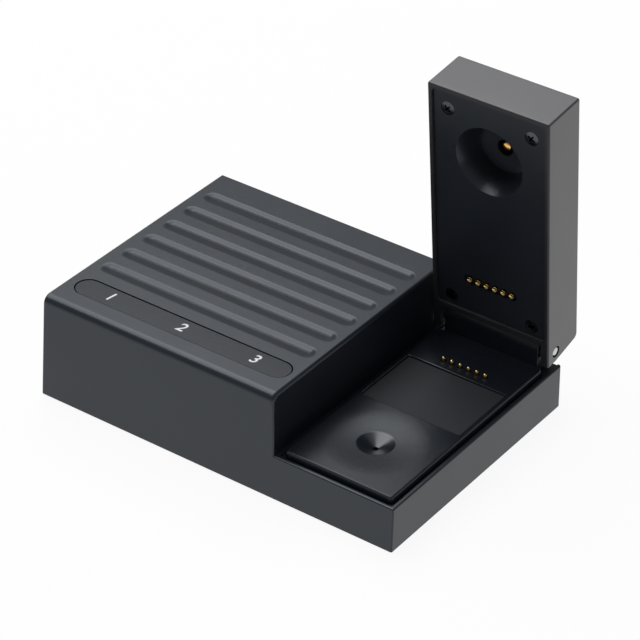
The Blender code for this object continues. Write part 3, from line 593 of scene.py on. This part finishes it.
def copiesAt(first, name, node, count):
    # The piece and its copies, which lie as the numbered nodes lie to the first of them
    pieces = [first]
    for index in range(2, count + 1):
        move = middleOf(f"{node}_{index}") - middleOf(node + "_1")
        pieces.append(copyOf(first, f"{name}_{index}", (move.x, move.y, 0)))
    return pieces


def finishPiece(piece, finish, body, nodes=()):
    settle(piece)
    piece.data.materials.append(finish)
    bpy.ops.object.shade_smooth_by_angle(angle=smoothBelow)
    weighted = piece.modifiers.new("weighted", "WEIGHTED_NORMAL")
    weighted.keep_sharp = True
    bpy.ops.object.modifier_apply(modifier="weighted")
    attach(piece, body)
    if nodes:
        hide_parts(*nodes)
    print("made", piece.name, len(piece.data.polygons), "faces")


# Places read from the frame

housingLow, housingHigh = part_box("main_housing")
plateLow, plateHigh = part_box("tray_plate")
windowLow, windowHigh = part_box("indicator_window")
pinLow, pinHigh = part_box("hinge_pin")
overrun = 1.0 * mm       # how far a cutter stands out of what it cuts
fit = 0.3 * mm           # the clearance round a piece in its seat
hinge = Vector((0, (pinLow.y + pinHigh.y) / 2, (pinLow.z + pinHigh.z) / 2))
joints = {joint["name"]: joint for joint in frame["joints"]}
lean = math.radians(90 - joints["lid_hinge"]["range_deg"][1])


def inMm(**lengths):
    return {name: length * mm for name, length in lengths.items()}


def middleOf(node):
    low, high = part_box(node)
    return (low + high) / 2


def boxAround(node, *grow):
    low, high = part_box(node)
    return low - Vector(grow), high + Vector(grow)


# Housing: the high block, the tray beside it, and everything let into them

housing = inMm(
    trayWidth=35.8, trayHeight=14.0, rimLower=0.85, wall=2.2, topWall=2.4, frontFillet=2.2,
    notchFillet=1.0, edgeFillet=0.45, footFillet=0.2, rimWidth=0.8, rimDrop=0.4, rimFillet=0.15,
    cornerRadius=1.0, plateProud=0.8, plateThickness=2.2, plateSeat=2.8, trayFloor=1.5,
) | {"frontDraft": math.radians(3.0), "sideDraft": math.radians(1.3), "notchDraft": math.radians(3.0)}
grooves = inMm(
    inset=3.0, fromFront=21.25, fromRear=11.15, radius=2.6, depth=0.48, floor=0.25,
) | {"count": 6, "steps": 14, "drift": 0.34}
window = inMm(flange=1.0, flangeThickness=1.0, groove=0.25, edge=0.15)
numbers = {
    "shares": (0.19, 0.50, 0.81), "height": 3.4 * mm, "slant": 0.15, "weight": 0.012,
    "sunk": 0.05 * mm, "proud": 0.02 * mm, "capitals": 0.7,      # how high capitals stand at size 1
}

bottom, blockTop, rear = housingLow.z, housingHigh.z, housingHigh.y
trayTop = housing["trayHeight"]
rimTop = trayTop - housing["rimLower"]
flare = (trayTop - bottom) * math.tan(housing["sideDraft"])      # the walls stand true at the tray's rim
left, right = housingLow.x + flare, housingHigh.x - flare
front = housingLow.y + (trayTop - bottom) * math.tan(housing["frontDraft"])
trayLeft = right - housing["trayWidth"]
plateTop = trayTop + housing["plateProud"]
plateBottom = plateTop - housing["plateThickness"]
pocketFloor = plateBottom - fit


def grooveCutters():
    # A soft channel: its sides swing down from the top and run out level on its floor, steeper at the rear
    low, high = left + grooves["inset"], trayLeft - grooves["inset"]
    first = front + grooves["fromFront"]
    pitch = (rear - grooves["fromRear"] - first) / (grooves["count"] - 1)
    levels = [(0, blockTop + overrun)]
    for step in range(grooves["steps"] + 1):
        share = step / grooves["steps"]
        fall = grooves["depth"] * (1 - math.cos(math.pi * share)) / 2
        levels.append(((grooves["radius"] - grooves["floor"]) * share, blockTop - fall))
    one = addStadium("groove", (low, high), first, grooves["radius"], levels, drift=grooves["drift"])
    copies = [copyOf(one, "groove", (0, pitch * index, 0)) for index in range(1, grooves["count"])]
    return joined([one] + copies)


def makeHousing(finish):
    piece = addBlock("housing_case", (left, front, bottom), (right, rear, rimTop))
    splitFaces(piece, (trayLeft, 0, 0), (1, 0, 0))
    raiseFaces(piece, (0, 0, blockTop - rimTop), x=(left, trayLeft), z=rimTop)
    for height in (bottom, blockTop):
        rise = height - rimTop
        moveCorners(piece, (0, rise * math.tan(housing["frontDraft"]), 0), y=front, z=height)
        moveCorners(piece, (rise * math.tan(housing["sideDraft"]), 0, 0), x=left, z=height)
        moveCorners(piece, (-rise * math.tan(housing["sideDraft"]), 0, 0), x=right, z=height)
    moveCorners(piece, (-rise * math.tan(housing["notchDraft"]), 0, 0), x=trayLeft, z=blockTop)

    fillet, wall = housing["frontFillet"], housing["wall"]
    roundEdges(piece, fillet, 8, y=(front, front + wall), z=blockTop)
    notchX, notchZ = (trayLeft - wall, trayLeft), (blockTop - fillet, blockTop)
    roundEdges(piece, housing["notchFillet"], 5, x=notchX, z=notchZ)

    def outer(edge):
        spared = lies(edge, z=bottom) or lies(edge, y=rear, z=rimTop)
        return edge.calc_face_angle_signed(0) > sharp and not spared

    def footEdge(edge):
        return edge.calc_face_angle_signed(0) > sharp and lies(edge, z=bottom)

    roundEdges(piece, housing["edgeFillet"], 4, outer)
    roundEdges(piece, housing["footFillet"], 2, footEdge)

    # Hollow, and open underneath
    blockCeiling = blockTop - housing["topWall"]
    trayCeiling = pocketFloor - housing["trayFloor"]
    rooms = (
        (left + wall, trayLeft - wall, blockCeiling),
        (trayLeft - wall - overrun, right - wall, trayCeiling),
    )
    for start, end, ceiling in rooms:
        cutWith(piece, addBlock("room", (start, front + wall, bottom - overrun), (end, rear - wall, ceiling)))

    rim = housing["rimWidth"]
    recess = addPlateBlock(
        "recess", (plateLow.x - rim, plateLow.y - rim, rimTop - housing["rimDrop"]),
        (plateHigh.x + rim, rear + 2 * overrun, rimTop + overrun), housing["cornerRadius"] / 2, 4,
    )
    cutWith(piece, recess)
    plateRear = hinge.y - tray["knuckleRadius"]
    low = (plateLow.x - fit, plateLow.y - fit, pocketFloor)
    high = (plateHigh.x + fit, plateRear + fit, rimTop + overrun)
    cutWith(piece, addPlateBlock("pocket", low, high, housing["cornerRadius"] + fit))
    seat = housing["plateSeat"]
    low = (plateLow.x + seat, plateLow.y + seat, trayCeiling - overrun)
    high = (plateHigh.x - seat, plateRear - seat, pocketFloor + overrun)
    cutWith(piece, addPlateBlock("opening", low, high, housing["cornerRadius"]))

    flange = window["flange"]
    ends = (windowLow.x + flange, windowHigh.x - flange)
    radius = (windowHigh.y - windowLow.y) / 2 - flange
    levels = [(0, blockTop + overrun), (0, blockCeiling - overrun)]
    cutWith(piece, addStadium("window_opening", ends, middleOf("indicator_window").y, radius, levels))
    cutWith(piece, grooveCutters())

    slide = joints["power_slide"]["range_m"][1]
    for node, travel, corner, steps in (
        ("power_inlet", 0, inlet["openingCorner"], 5),
        ("switch_slider", slide, knob["openingCorner"], 3),
    ):
        low, high = boxAround(node, fit, 0, fit)
        high.x += travel
        low.y, high.y = rear - wall - overrun, rear + overrun
        cutWith(piece, addPlateBlock("rear_opening", low, high, corner, steps, "y"))

    recessX, recessY = (plateLow.x - rim, plateHigh.x + rim), (plateLow.y - rim, rear - overrun)
    roundEdges(piece, housing["rimFillet"], 2, x=recessX, y=recessY, z=rimTop)
    finishPiece(piece, finish, "base", ["main_housing"])


def makeWindow(finish, ink):
    low, high, middle = windowLow, windowHigh, middleOf("indicator_window").y
    flange, thick = window["flange"], window["flangeThickness"]
    levels = [(0, low.z), (0, low.z + thick), (flange + window["groove"], low.z + thick)]
    levels.append((flange + window["groove"], high.z))
    piece = addStadium("indicator_lens", (low.x, high.x), middle, (high.y - low.y) / 2, levels)
    roundEdges(piece, window["edge"], 3, z=high.z)
    finishPiece(piece, finish, "base", ["indicator_window"])
    for index, share in enumerate(numbers["shares"], 1):
        x = left + (trayLeft - left) * share
        addNumber(str(index), (x, middle, high.z), ink)


def addNumber(text, place, ink):
    # A plain printed numeral, a hair above the window's face
    clearSelection()
    bpy.ops.object.text_add()
    words = bpy.context.object
    words.data.body = text
    words.data.size = 1.0
    words.data.shear = numbers["slant"]
    words.data.offset = numbers["weight"]
    words.data.align_x = "CENTER"
    words.data.align_y = "CENTER"
    scale = numbers["height"] / numbers["capitals"]
    words.data.extrude = (numbers["sunk"] + numbers["proud"]) / 2 / scale
    bpy.ops.object.convert(target="MESH")
    piece = bpy.context.object
    piece.name = "window_number_" + text
    piece.scale = (scale, scale, scale)
    piece.location = Vector(place) + Vector((0, 0, (numbers["proud"] - numbers["sunk"]) / 2))
    finishPiece(piece, ink, "base")


# Tray plate: the dish and the well, the label's recess, the contact windows and the hinge knuckle

tray = inMm(
    corner=1.0, edge=0.5, knuckleRadius=3.2, boreRadius=1.4, knuckleEdge=0.25, dishRadius=13.5,
    dishDepth=0.5, wellRadius=4.9, wellDepth=2.1, wellLip=1.3, apertureRadius=0.7, wellBossRadius=6.0,
    wellBossDrop=1.6, labelCorner=0.4, labelRecess=1.1, labelEdge=0.34, labelGap=0.05, filmEdge=0.05,
    contactClearance=0.2,
) | {"dishSteps": 12, "lipSteps": 6}


def makeTrayPlate(finish):
    plateRear = hinge.y - tray["knuckleRadius"]
    low, high = (plateLow.x, plateLow.y, plateBottom), (plateHigh.x, plateRear, plateTop)
    piece = addPlateBlock("tray_deck", low, high, tray["corner"])
    roundEdges(piece, tray["edge"], 4, lambda edge: lies(edge, z=plateTop) and not lies(edge, y=plateRear))

    # The knuckle is round over its top, with flat faces down to the ledge inside the tray's rim
    start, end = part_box("hinge_washer_left")[1].x + fit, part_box("hinge_washer_right")[0].x - fit
    radius = tray["knuckleRadius"]
    low, high = rimTop - housing["rimDrop"] + fit, hinge.z + radius
    knuckle = addBlock("knuckle", (start, plateRear, low), (end, hinge.y + radius, high))

    def atEnd(edge):
        return lies(edge, x=start) or lies(edge, x=end)

    roundEdges(knuckle, radius - near, 14, lambda edge: lies(edge, z=high) and not atEnd(edge))
    roundEdges(knuckle, tray["knuckleEdge"], 3, lambda edge: atEnd(edge) and not lies(edge, z=low))
    bite = addBlock("bite", (start + fit, plateRear - fit, low), (end - fit, plateRear + fit, plateTop - fit))
    cutWith(piece, bite, "UNION")
    cutWith(piece, knuckle, "UNION")

    spot = middleOf("light_sensor")
    under = plateBottom - tray["wellBossDrop"]
    cutWith(piece, rods([spot], tray["wellBossRadius"], (under, plateBottom + fit)), "UNION")
    wide, deep, steps = tray["dishRadius"], tray["dishDepth"], tray["dishSteps"]
    narrow, aperture, lip = tray["wellRadius"], tray["apertureRadius"], tray["wellLip"]

    def dishHeight(reach):
        return plateTop - deep * (1 - (reach / wide) ** 2) ** 2

    dish = [(wide, plateTop + overrun), (wide, plateTop)]
    for step in range(1, steps + 1):
        reach = wide * (1 - step / steps) + aperture
        dish.append((reach, dishHeight(reach)))
    cutWith(piece, addTurned("dish", spot, dish, sides=96))

    # The well is a cone with a rounded lip, down to the light's aperture
    mouth, floor, steps = dishHeight(narrow), plateTop - tray["wellDepth"], tray["lipSteps"]
    steep = math.atan((mouth - floor) / (narrow - aperture))
    reach = narrow + lip * math.tan(steep / 2)
    well = [(narrow + lip, plateTop + overrun)]
    for step in range(steps + 1):
        angle = steep * step / steps
        well.append((reach - lip * math.sin(angle), mouth - lip * (1 - math.cos(angle))))
    well += [(aperture, floor), (aperture, under - overrun)]
    cutWith(piece, addTurned("well", spot, well, sides=96))

    low, high = boxAround("label_plate", fit, fit, 0)
    low.z, high.z = plateTop - tray["labelRecess"], plateTop + overrun
    cutWith(piece, addPlateBlock("label_recess", low, high, tray["labelCorner"], 4))
    pins = [middleOf(f"contact_pin_{index}") for index in numbered]
    size = contacts["radius"] + tray["contactClearance"]
    cutWith(piece, rods(pins, size, (plateBottom - overrun, plateTop + overrun), sides=32))
    cutWith(piece, rods([hinge], tray["boreRadius"], (start - overrun, end + overrun), "X"))

    def recessEdge(edge):
        inside = lies(edge, x=(low.x, high.x), y=(low.y, high.y), z=plateTop)
        return inside and edge.calc_face_angle(0) > sharp

    roundEdges(piece, tray["labelEdge"], 2, recessEdge)
    finishPiece(piece, finish, "base", ["tray_plate"])


def makeLabel(finish):
    grow = fit - tray["labelGap"]
    low, high = boxAround("label_plate", grow, grow, 0)
    piece = addPlateBlock("label_film", low, high, tray["labelCorner"], 4)
    roundEdges(piece, tray["filmEdge"], 2, z=high.z)
    finishPiece(piece, finish, "base", ["label_plate"])


# Contacts: six plungers in the tray, six dished cups in the lid

contacts = inMm(
    pitch=2.54, radius=0.55, flangeRadius=0.85, flange=0.5, edge=0.05,
) | {"count": 6, "steps": 8, "tip": math.radians(86)}
cups = inMm(radius=0.8, thickness=0.7, rim=0.08, dish=0.35, proud=0.1) | {"dishSpan": 0.92, "steps": 6}
numbered = range(1, contacts["count"] + 1)


def makePlungers(finish):
    low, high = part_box("contact_pin_1")
    radius, edge = contacts["radius"], contacts["edge"]
    wide, top = contacts["flangeRadius"], low.z + contacts["flange"]
    profile = [(wide - edge, low.z), (wide, low.z + edge), (wide, top - edge), (wide - edge, top)]
    profile.append((radius, top))
    for step in range(contacts["steps"] + 1):
        angle = contacts["tip"] * step / contacts["steps"]
        profile.append((radius * math.cos(angle), high.z - radius + radius * math.sin(angle)))
    first = addTurned("plunger_pin_1", middleOf("contact_pin_1"), profile, sides=32)
    for index, pin in enumerate(copiesAt(first, "plunger_pin", "contact_pin", contacts["count"]), 1):
        finishPiece(pin, finish, f"plunger_{index}", [f"contact_pin_{index}"])


# Lid, modelled upright about the hinge axis: Y runs out through the lid and Z along it

lid = inMm(
    thickness=14.0, axisDepth=3.7, reach=72.4, tail=3.3, tailRise=1.5, tailCorner=1.5, tailChamfer=0.5,
    edge=0.6, ear=2.3, wall=2.0, frame=1.25, shelf=1.5, panelGap=0.12, relief=3.7, reliefWall=1.2,
    boreRadius=1.6, panelInset=0.7, panelThickness=2.2, panelCorner=1.2, panelEdge=0.12, cupRadius=9.75,
    cupFloorRadius=7.3, cupDepth=7.4, cupWall=1.0, cupHeight=54.3, emitterHole=2.3, padsHeight=15.1,
    slotRadius=1.1, slotEnd=1.3, boardThickness=1.0, screwSide=12.2, screwLow=7.9, screwHigh=66.1,
    postRadius=2.6,
) | {"cupCurve": 1.8}
screw = inMm(
    headRadius=1.85, shaftRadius=0.9, length=7.0, dome=0.22, gap=0.1, crossWidth=0.55, crossLength=2.5,
    crossDepth=0.8,
) | {"turns": (12, 48, -20, 33)}
screwLook = {"steps": 6, "domeSpan": 0.9, "crossTaper": 0.7}
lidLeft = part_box("lid_shell")[0].x
lidMiddle = (lidLeft + right) / 2
trayMiddle = (trayLeft + right) / 2
innerFace = -lid["axisDepth"]
outerFace = lid["thickness"] - lid["axisDepth"]
panelFace = innerFace + lid["panelInset"]
panelBack = panelFace + lid["panelThickness"]
shelfFace = panelBack + fit
panelLow = lid["relief"] + lid["reliefWall"]
panelHigh = lid["reach"] - lid["frame"]
screwSpots = [
    Vector((lidMiddle + side * lid["screwSide"], 0, height))
    for side in (-1, 1) for height in (lid["screwLow"], lid["screwHigh"])
]


def hang(piece):
    # Leans an upright lid piece to its rest place about the hinge
    piece.rotation_euler.x = lean
    piece.location = hinge
    return settle(piece)


def panelCutter(name, grow, faces, corner):
    inset = lid["panelGap"] - grow
    low = (lidLeft + lid["frame"] + inset, faces[0], panelLow + inset)
    high = (right - lid["frame"] - inset, faces[1], panelHigh - inset)
    return addPlateBlock(name, low, high, corner, 8, "y")


def makeLidShell(finish):
    tail = -lid["tail"]
    piece = addBlock("lid_case", (lidLeft, innerFace, tail), (right, outerFace, lid["reach"]))
    splitFaces(piece, (0, 0, 0), (0, 1, 0))
    moveCorners(piece, (0, 0, lid["tailRise"]), y=outerFace, z=tail)
    roundEdges(piece, lid["tailCorner"], 8, y=outerFace, z=tail + lid["tailRise"])
    roundEdges(piece, lid["tailChamfer"], 2, y=innerFace, z=tail)
    roundEdges(piece, lid["edge"], 4, lambda edge: edge.calc_face_angle_signed(0) > sharp)

    gap, corner, back = lid["panelGap"], lid["panelCorner"], outerFace - lid["wall"]
    cutWith(piece, panelCutter("panel_seat", gap, (innerFace - overrun, shelfFace), corner))
    cutWith(piece, panelCutter("hollow", gap - lid["shelf"], (shelfFace - overrun, back), corner / 2))
    cutWith(piece, rods(screwSpots, lid["postRadius"], (shelfFace, back + fit), "Y"), "UNION")
    cutWith(piece, rods(screwSpots, screw["shaftRadius"] + fit, (shelfFace - overrun, screw["length"]), "Y"))

    relief = lid["relief"]
    low = (lidLeft + lid["ear"], innerFace - overrun, tail - overrun)
    knuckleRoom = addBlock("knuckle_room", low, (right - lid["ear"], relief, relief))
    roundEdges(knuckleRoom, relief, 12, y=relief, z=relief)
    cutWith(piece, knuckleRoom)
    cutWith(piece, rods([Vector()], lid["boreRadius"], (lidLeft - overrun, right + overrun), "X"))
    hang(piece)
    finishPiece(piece, finish, "lid", ["lid_shell"])


def makeLidPanel(finish):
    piece = panelCutter("lid_lining", 0, (panelFace, panelBack), lid["panelCorner"] - lid["panelGap"])
    roundEdges(piece, lid["panelEdge"], 3, y=panelFace)
    spot = (trayMiddle, 0, lid["cupHeight"])
    mouth, floor, wall = lid["cupRadius"], lid["cupFloorRadius"], lid["cupWall"]
    cupFloor = panelFace + lid["cupDepth"]
    slope = (mouth - floor) / lid["cupDepth"]
    outside = [
        (mouth + wall, panelBack - fit), (mouth + wall - slope * lid["panelThickness"], panelBack),
        (floor + wall, cupFloor + wall),
    ]
    cutWith(piece, addTurned("cup_wall", spot, outside, "Y", 96), "UNION")
    # The cup flares towards its mouth
    curve, steps = lid["cupCurve"], 12
    inside = [(mouth + slope * curve * overrun, panelFace - overrun)]
    for step in range(1, steps + 1):
        share = step / steps
        inside.append((floor + (mouth - floor) * (1 - share) ** curve, panelFace + lid["cupDepth"] * share))
    cutWith(piece, addTurned("cup", spot, inside, "Y", 96))
    cutWith(piece, rods([spot], lid["emitterHole"], (cupFloor - overrun, cupFloor + wall + overrun), "Y"))

    half = contacts["pitch"] * (contacts["count"] - 1) / 2 + lid["slotEnd"] + fit
    ends = (trayMiddle - half, trayMiddle + half)
    through = [(0, panelFace - overrun), (0, panelBack + overrun)]
    cutWith(piece, addStadium("slot", ends, lid["padsHeight"], lid["slotRadius"] + fit, through, "Y"))
    seat = screwSeat(screw["headRadius"] + screw["gap"], screw["shaftRadius"] + fit, panelFace, panelBack)
    cutWith(piece, joined([addTurned("seat", place, seat, "Y") for place in screwSpots]))
    hang(piece)
    finishPiece(piece, finish, "lid", ["lid_panel"])


def screwSeat(wide, narrow, face, back):
    # The rings of the hole that a countersunk head sits in
    sunk = face + fit
    return [(wide, face - overrun), (wide, sunk), (narrow, sunk + wide - narrow), (narrow, back + overrun)]


def makeScrew(name, centre, sizes, axis, face):
    # A countersunk screw with a cross recess, its head at the face and its shaft along the axis
    head, shaft, length = sizes["headRadius"], sizes["shaftRadius"], sizes["length"]
    end = face + length
    profile = [(shaft / 3, end), (shaft, end - shaft), (shaft, face + head - shaft), (head, face)]
    for step in range(1, screwLook["steps"] + 1):
        reach = head * (1 - screwLook["domeSpan"] * step / screwLook["steps"])
        profile.append((reach, face - sizes["dome"] * (1 - (reach / head) ** 2)))
    piece = addTurned(name, centre, profile, axis)
    wide, long, deep = sizes["crossWidth"] / 2, sizes["crossLength"] / 2, sizes["crossDepth"]
    taper = screwLook["crossTaper"]
    for a, b in ((wide, long), (long, wide)):
        bar = addBlock("bar", (-a, -overrun, -b), (a, deep, b))
        choose(bar, "FACE", y=deep)
        bpy.ops.transform.resize(value=(taper, 1, taper), center_override=(0, deep, 0))
        leaveEdit()
        if axis == "Z":
            bar.rotation_euler.x = math.pi / 2
        bar.location = Vector(centre) + directions[axis][0] * face
        settle(bar)
        cutWith(piece, bar)
    return piece


def makeLidScrews(finish):
    screws = [makeScrew("lid_cross_screw_1", screwSpots[0], screw, "Y", panelFace + fit / 3)]
    for index, spot in enumerate(screwSpots[1:], 2):
        screws.append(copyOf(screws[0], f"lid_cross_screw_{index}", spot - screwSpots[0]))
    for index, (piece, spot, turn) in enumerate(zip(screws, screwSpots, screw["turns"]), 1):
        about = Matrix.Translation(spot)
        piece.matrix_world = about @ Matrix.Rotation(math.radians(turn), 4, "Y") @ about.inverted()
        settle(piece)
        hang(piece)
        finishPiece(piece, finish, "lid", [f"lid_screw_{index}"])


def makeCups(finish):
    face = panelFace - cups["proud"]
    radius, rim = cups["radius"], cups["rim"]
    bowl = radius - 2 * rim
    profile = [(radius, face + cups["thickness"]), (radius, face + rim)]
    profile += [(radius - rim / 3, face + rim / 3), (radius - rim, face)]
    for step in range(cups["steps"] + 1):
        share = 1 - step / cups["steps"] * cups["dishSpan"]
        profile.append((bowl * share, face + cups["dish"] * (1 - share ** 2)))
    spot = (middleOf("contact_pad_1").x, 0, lid["padsHeight"])
    first = addTurned("lid_cup_1", spot, profile, "Y", 32)
    for index, pad in enumerate(copiesAt(first, "lid_cup", "contact_pad", contacts["count"]), 1):
        hang(pad)
        finishPiece(pad, finish, "lid", [f"contact_pad_{index}"])


emitter = inMm(radius=1.5, edge=0.9, recess=0.3, crown=0.09) | {"steps": 4, "crownFlat": 0.2}
pinLook = {"edge": 0.2, "flat": 0.3, "rise": 1 / 6, "washerEdge": 0.08 * mm}


def makeEmitter(finish):
    face = panelFace + lid["cupDepth"] + emitter["recess"]
    radius, edge = emitter["radius"], emitter["edge"]
    back = outerFace - lid["wall"] - fit - lid["boardThickness"] - fit
    profile = [(radius, back)] + softEdge(radius, face, edge, emitter["steps"])
    profile.append((radius * emitter["crownFlat"], face - emitter["crown"]))
    piece = addTurned("emitter_tip", (trayMiddle, 0, lid["cupHeight"]), profile, "Y")
    hang(piece)
    finishPiece(piece, finish, "lid", ["light_emitter"])


def makeHingeParts(steel, nylon):
    # The pin's ends are slightly domed
    radius, start, end = (pinHigh.z - pinLow.z) / 2, pinLow.x, pinHigh.x
    edge, flat = radius * pinLook["edge"], radius * pinLook["flat"]
    rise = edge * pinLook["rise"]
    profile = [(flat, start), (radius - edge, start + rise), (radius, start + edge)]
    profile += [(radius, end - edge), (radius - edge, end - rise), (flat, end)]
    finishPiece(addTurned("hinge_rod", hinge, profile, "X"), steel, "base", ["hinge_pin"])
    edge = pinLook["washerEdge"]
    for side in ("left", "right"):
        low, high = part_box("hinge_washer_" + side)
        outer, start, end = (high.z - low.z) / 2, low.x, high.x
        profile = [(outer - edge, start), (outer, start + edge), (outer, end - edge), (outer - edge, end)]
        piece = addTurned("washer_" + side, hinge, profile, "X")
        cutWith(piece, rods([hinge], radius + fit, (start - overrun, end + overrun), "X"))
        finishPiece(piece, nylon, "base", ["hinge_washer_" + side])


# Underside: the cover, its screws and the feet

cover = inMm(
    thickness=1.8, corner=1.0, edge=0.25, footSeat=1.6, standoffRadius=2.5, standoffInset=14.0,
) | {"count": 4}
coverScrew = inMm(
    headRadius=2.3, shaftRadius=1.15, length=8.5, dome=0.1, crossWidth=0.7, crossLength=3.0,
    crossDepth=1.0,
)
rubberFoot = inMm(edge=0.35, dishRadius=3.4, dish=0.15, dishEdge=0.4) | {"steps": 5}


def makeCover(finish):
    low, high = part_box("bottom_cover")
    top = low.z + cover["thickness"]
    piece = addPlateBlock("underside_cover", low, (high.x, high.y, top), cover["corner"])
    roundEdges(piece, cover["edge"], 3, z=low.z)
    inset = cover["standoffInset"]
    for x in (left + inset, right - inset):
        for y in (middleOf("foot_1").y, middleOf("foot_2").y):
            cutWith(piece, rods([(x, y, 0)], cover["standoffRadius"], (top - fit, high.z)), "UNION")
    seat = screwSeat(coverScrew["headRadius"] + fit, coverScrew["shaftRadius"] + fit, low.z, top)
    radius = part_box("foot_1")[1].x - middleOf("foot_1").x + fit
    for index in range(1, cover["count"] + 1):
        cutWith(piece, addTurned("seat", middleOf(f"cover_screw_{index}"), seat))
        cutWith(piece, rods([middleOf(f"foot_{index}")], radius, (low.z - overrun, cover["footSeat"])))
    finishPiece(piece, finish, "base", ["bottom_cover"])


def makeCoverScrews(finish):
    place = middleOf("cover_screw_1")
    place.z = 0
    first = makeScrew("underside_screw_1", place, coverScrew, "Z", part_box("cover_screw_1")[0].z)
    for index, piece in enumerate(copiesAt(first, "underside_screw", "cover_screw", cover["count"]), 1):
        finishPiece(piece, finish, "base", [f"cover_screw_{index}"])


def makeFeet(finish):
    # A round rubber pad with a soft edge and a shallow dish underneath
    low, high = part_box("foot_1")
    place = middleOf("foot_1")
    radius, inner, inside = high.x - place.x, rubberFoot["dishRadius"], low.z + rubberFoot["dish"]
    profile = [(radius, high.z)] + softEdge(radius, low.z, rubberFoot["edge"], rubberFoot["steps"])
    profile += [(inner, low.z), (inner - rubberFoot["dishEdge"], inside), (inner / 8, inside)]
    first = addTurned("rubber_pad_1", place, profile)
    for index, piece in enumerate(copiesAt(first, "rubber_pad", "foot", cover["count"]), 1):
        finishPiece(piece, finish, "base", [f"foot_{index}"])


# Rear: the power inlet with its tongue, and the ribbed knob of the slide switch

inlet = inMm(
    openingCorner=1.4, corner=1.1, wall=0.5, edge=0.1, tongueWidth=5.0, tongueThickness=0.6,
    tongueSet=1.5, contactWidth=0.28, contactProud=0.05,
) | {"contacts": 8}
knob = inMm(openingCorner=0.3, edge=0.15, ribWidth=0.30, ribDepth=0.25) | {"ribs": 3}


def makeInlet(shell, insulator, gold):
    low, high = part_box("power_inlet")
    piece = addPlateBlock("inlet_shell", low, high, inlet["corner"], 6, "y")
    roundEdges(piece, inlet["edge"], 2, y=high.y)
    wall = inlet["wall"]
    mouthLow = low + Vector((wall, wall, wall))
    mouthHigh = high + Vector((-wall, overrun, -wall))
    cutWith(piece, addPlateBlock("mouth", mouthLow, mouthHigh, inlet["corner"] - wall / 2, 6, "y"))
    finishPiece(piece, shell, "base", ["power_inlet"])

    middle = (low + high) / 2
    halfWidth, halfThickness = inlet["tongueWidth"] / 2, inlet["tongueThickness"] / 2
    end = high.y - inlet["tongueSet"]
    tongue = addBlock(
        "inlet_tongue", (middle.x - halfWidth, low.y + wall / 2, middle.z - halfThickness),
        (middle.x + halfWidth, end, middle.z + halfThickness),
    )
    roundEdges(tongue, inlet["edge"], 2, y=end)
    finishPiece(tongue, insulator, "base")
    pitch = inlet["tongueWidth"] / (inlet["contacts"] + 1)
    width, proud = inlet["contactWidth"] / 2, inlet["contactProud"]
    x, rise = middle.x - halfWidth + pitch, halfThickness + proud
    low, high = (x - width, low.y + wall, middle.z - rise), (x + width, end - wall, middle.z + rise)
    one = addBlock("inlet_contacts", low, high)
    copies = [copyOf(one, "inlet_contact", (pitch * index, 0, 0)) for index in range(1, inlet["contacts"])]
    finishPiece(joined([one] + copies), gold, "base")


def makeKnob(finish):
    low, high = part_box("switch_slider")
    piece = addBlock("switch_knob", low, high)

    def outer(edge):
        return lies(edge, y=high.y) or lies(edge, x=low.x) or lies(edge, x=high.x)

    roundEdges(piece, knob["edge"], 3, outer)
    pitch = (high.x - low.x) / (knob["ribs"] + 1)
    half = knob["ribWidth"] / 2
    for index in range(knob["ribs"]):
        x = low.x + pitch * (index + 1)
        start = (x - half, high.y - knob["ribDepth"], low.z - overrun)
        cutWith(piece, addBlock("rib_gap", start, (x + half, high.y + overrun, high.z + overrun)))
    finishPiece(piece, finish, "power_slider", ["switch_slider"])


# CAD nodes that stay as they are get a finish each

def dress(finish, *nodes):
    for node in nodes:
        for slot in frame["nodes"][node].material_slots:
            slot.material = finish
    print("dressed", *nodes)


plastic = {name: makePlastic(name) for name in plastics}
metal = {name: makeMetal(name) for name in metals}

makeCamera()
makeLamp()
makeStudio()
print("camera, lamp and floor made")
makeHousing(plastic["housing"])
makeWindow(plastic["window"], plastic["ink"])
makeTrayPlate(plastic["tray"])
makeLabel(plastic["label"])
makePlungers(metal["gold"])
makeHingeParts(metal["steel"], plastic["nylon"])
makeLidShell(plastic["lid"])
makeLidPanel(plastic["panel"])
makeLidScrews(metal["screw"])
makeCups(metal["gold"])
makeEmitter(metal["emitter"])
makeCover(plastic["cover"])
makeCoverScrews(metal["screw"])
makeFeet(plastic["rubber"])
makeInlet(metal["steel"], plastic["insulator"], metal["gold"])
makeKnob(plastic["insulator"])

dress(makeBoard("green"), "main_board", "lamp_board")
dress(makeBoard("black"), "lid_board")
dress(makeCellWrap(), "battery_cell")
dress(makeLampEpoxy(), "lamp_1", "lamp_2", "lamp_3")
dress(plastic["epoxy"], "switch_body", "buzzer", "control_chip")
dress(plastic["insulator"], "battery_holder", "contact_block", "contact_strip")
dress(plastic["baffle"], "light_box")
dress(metal["steel"], "light_sensor", *[f"contact_spring_{index}" for index in numbered])
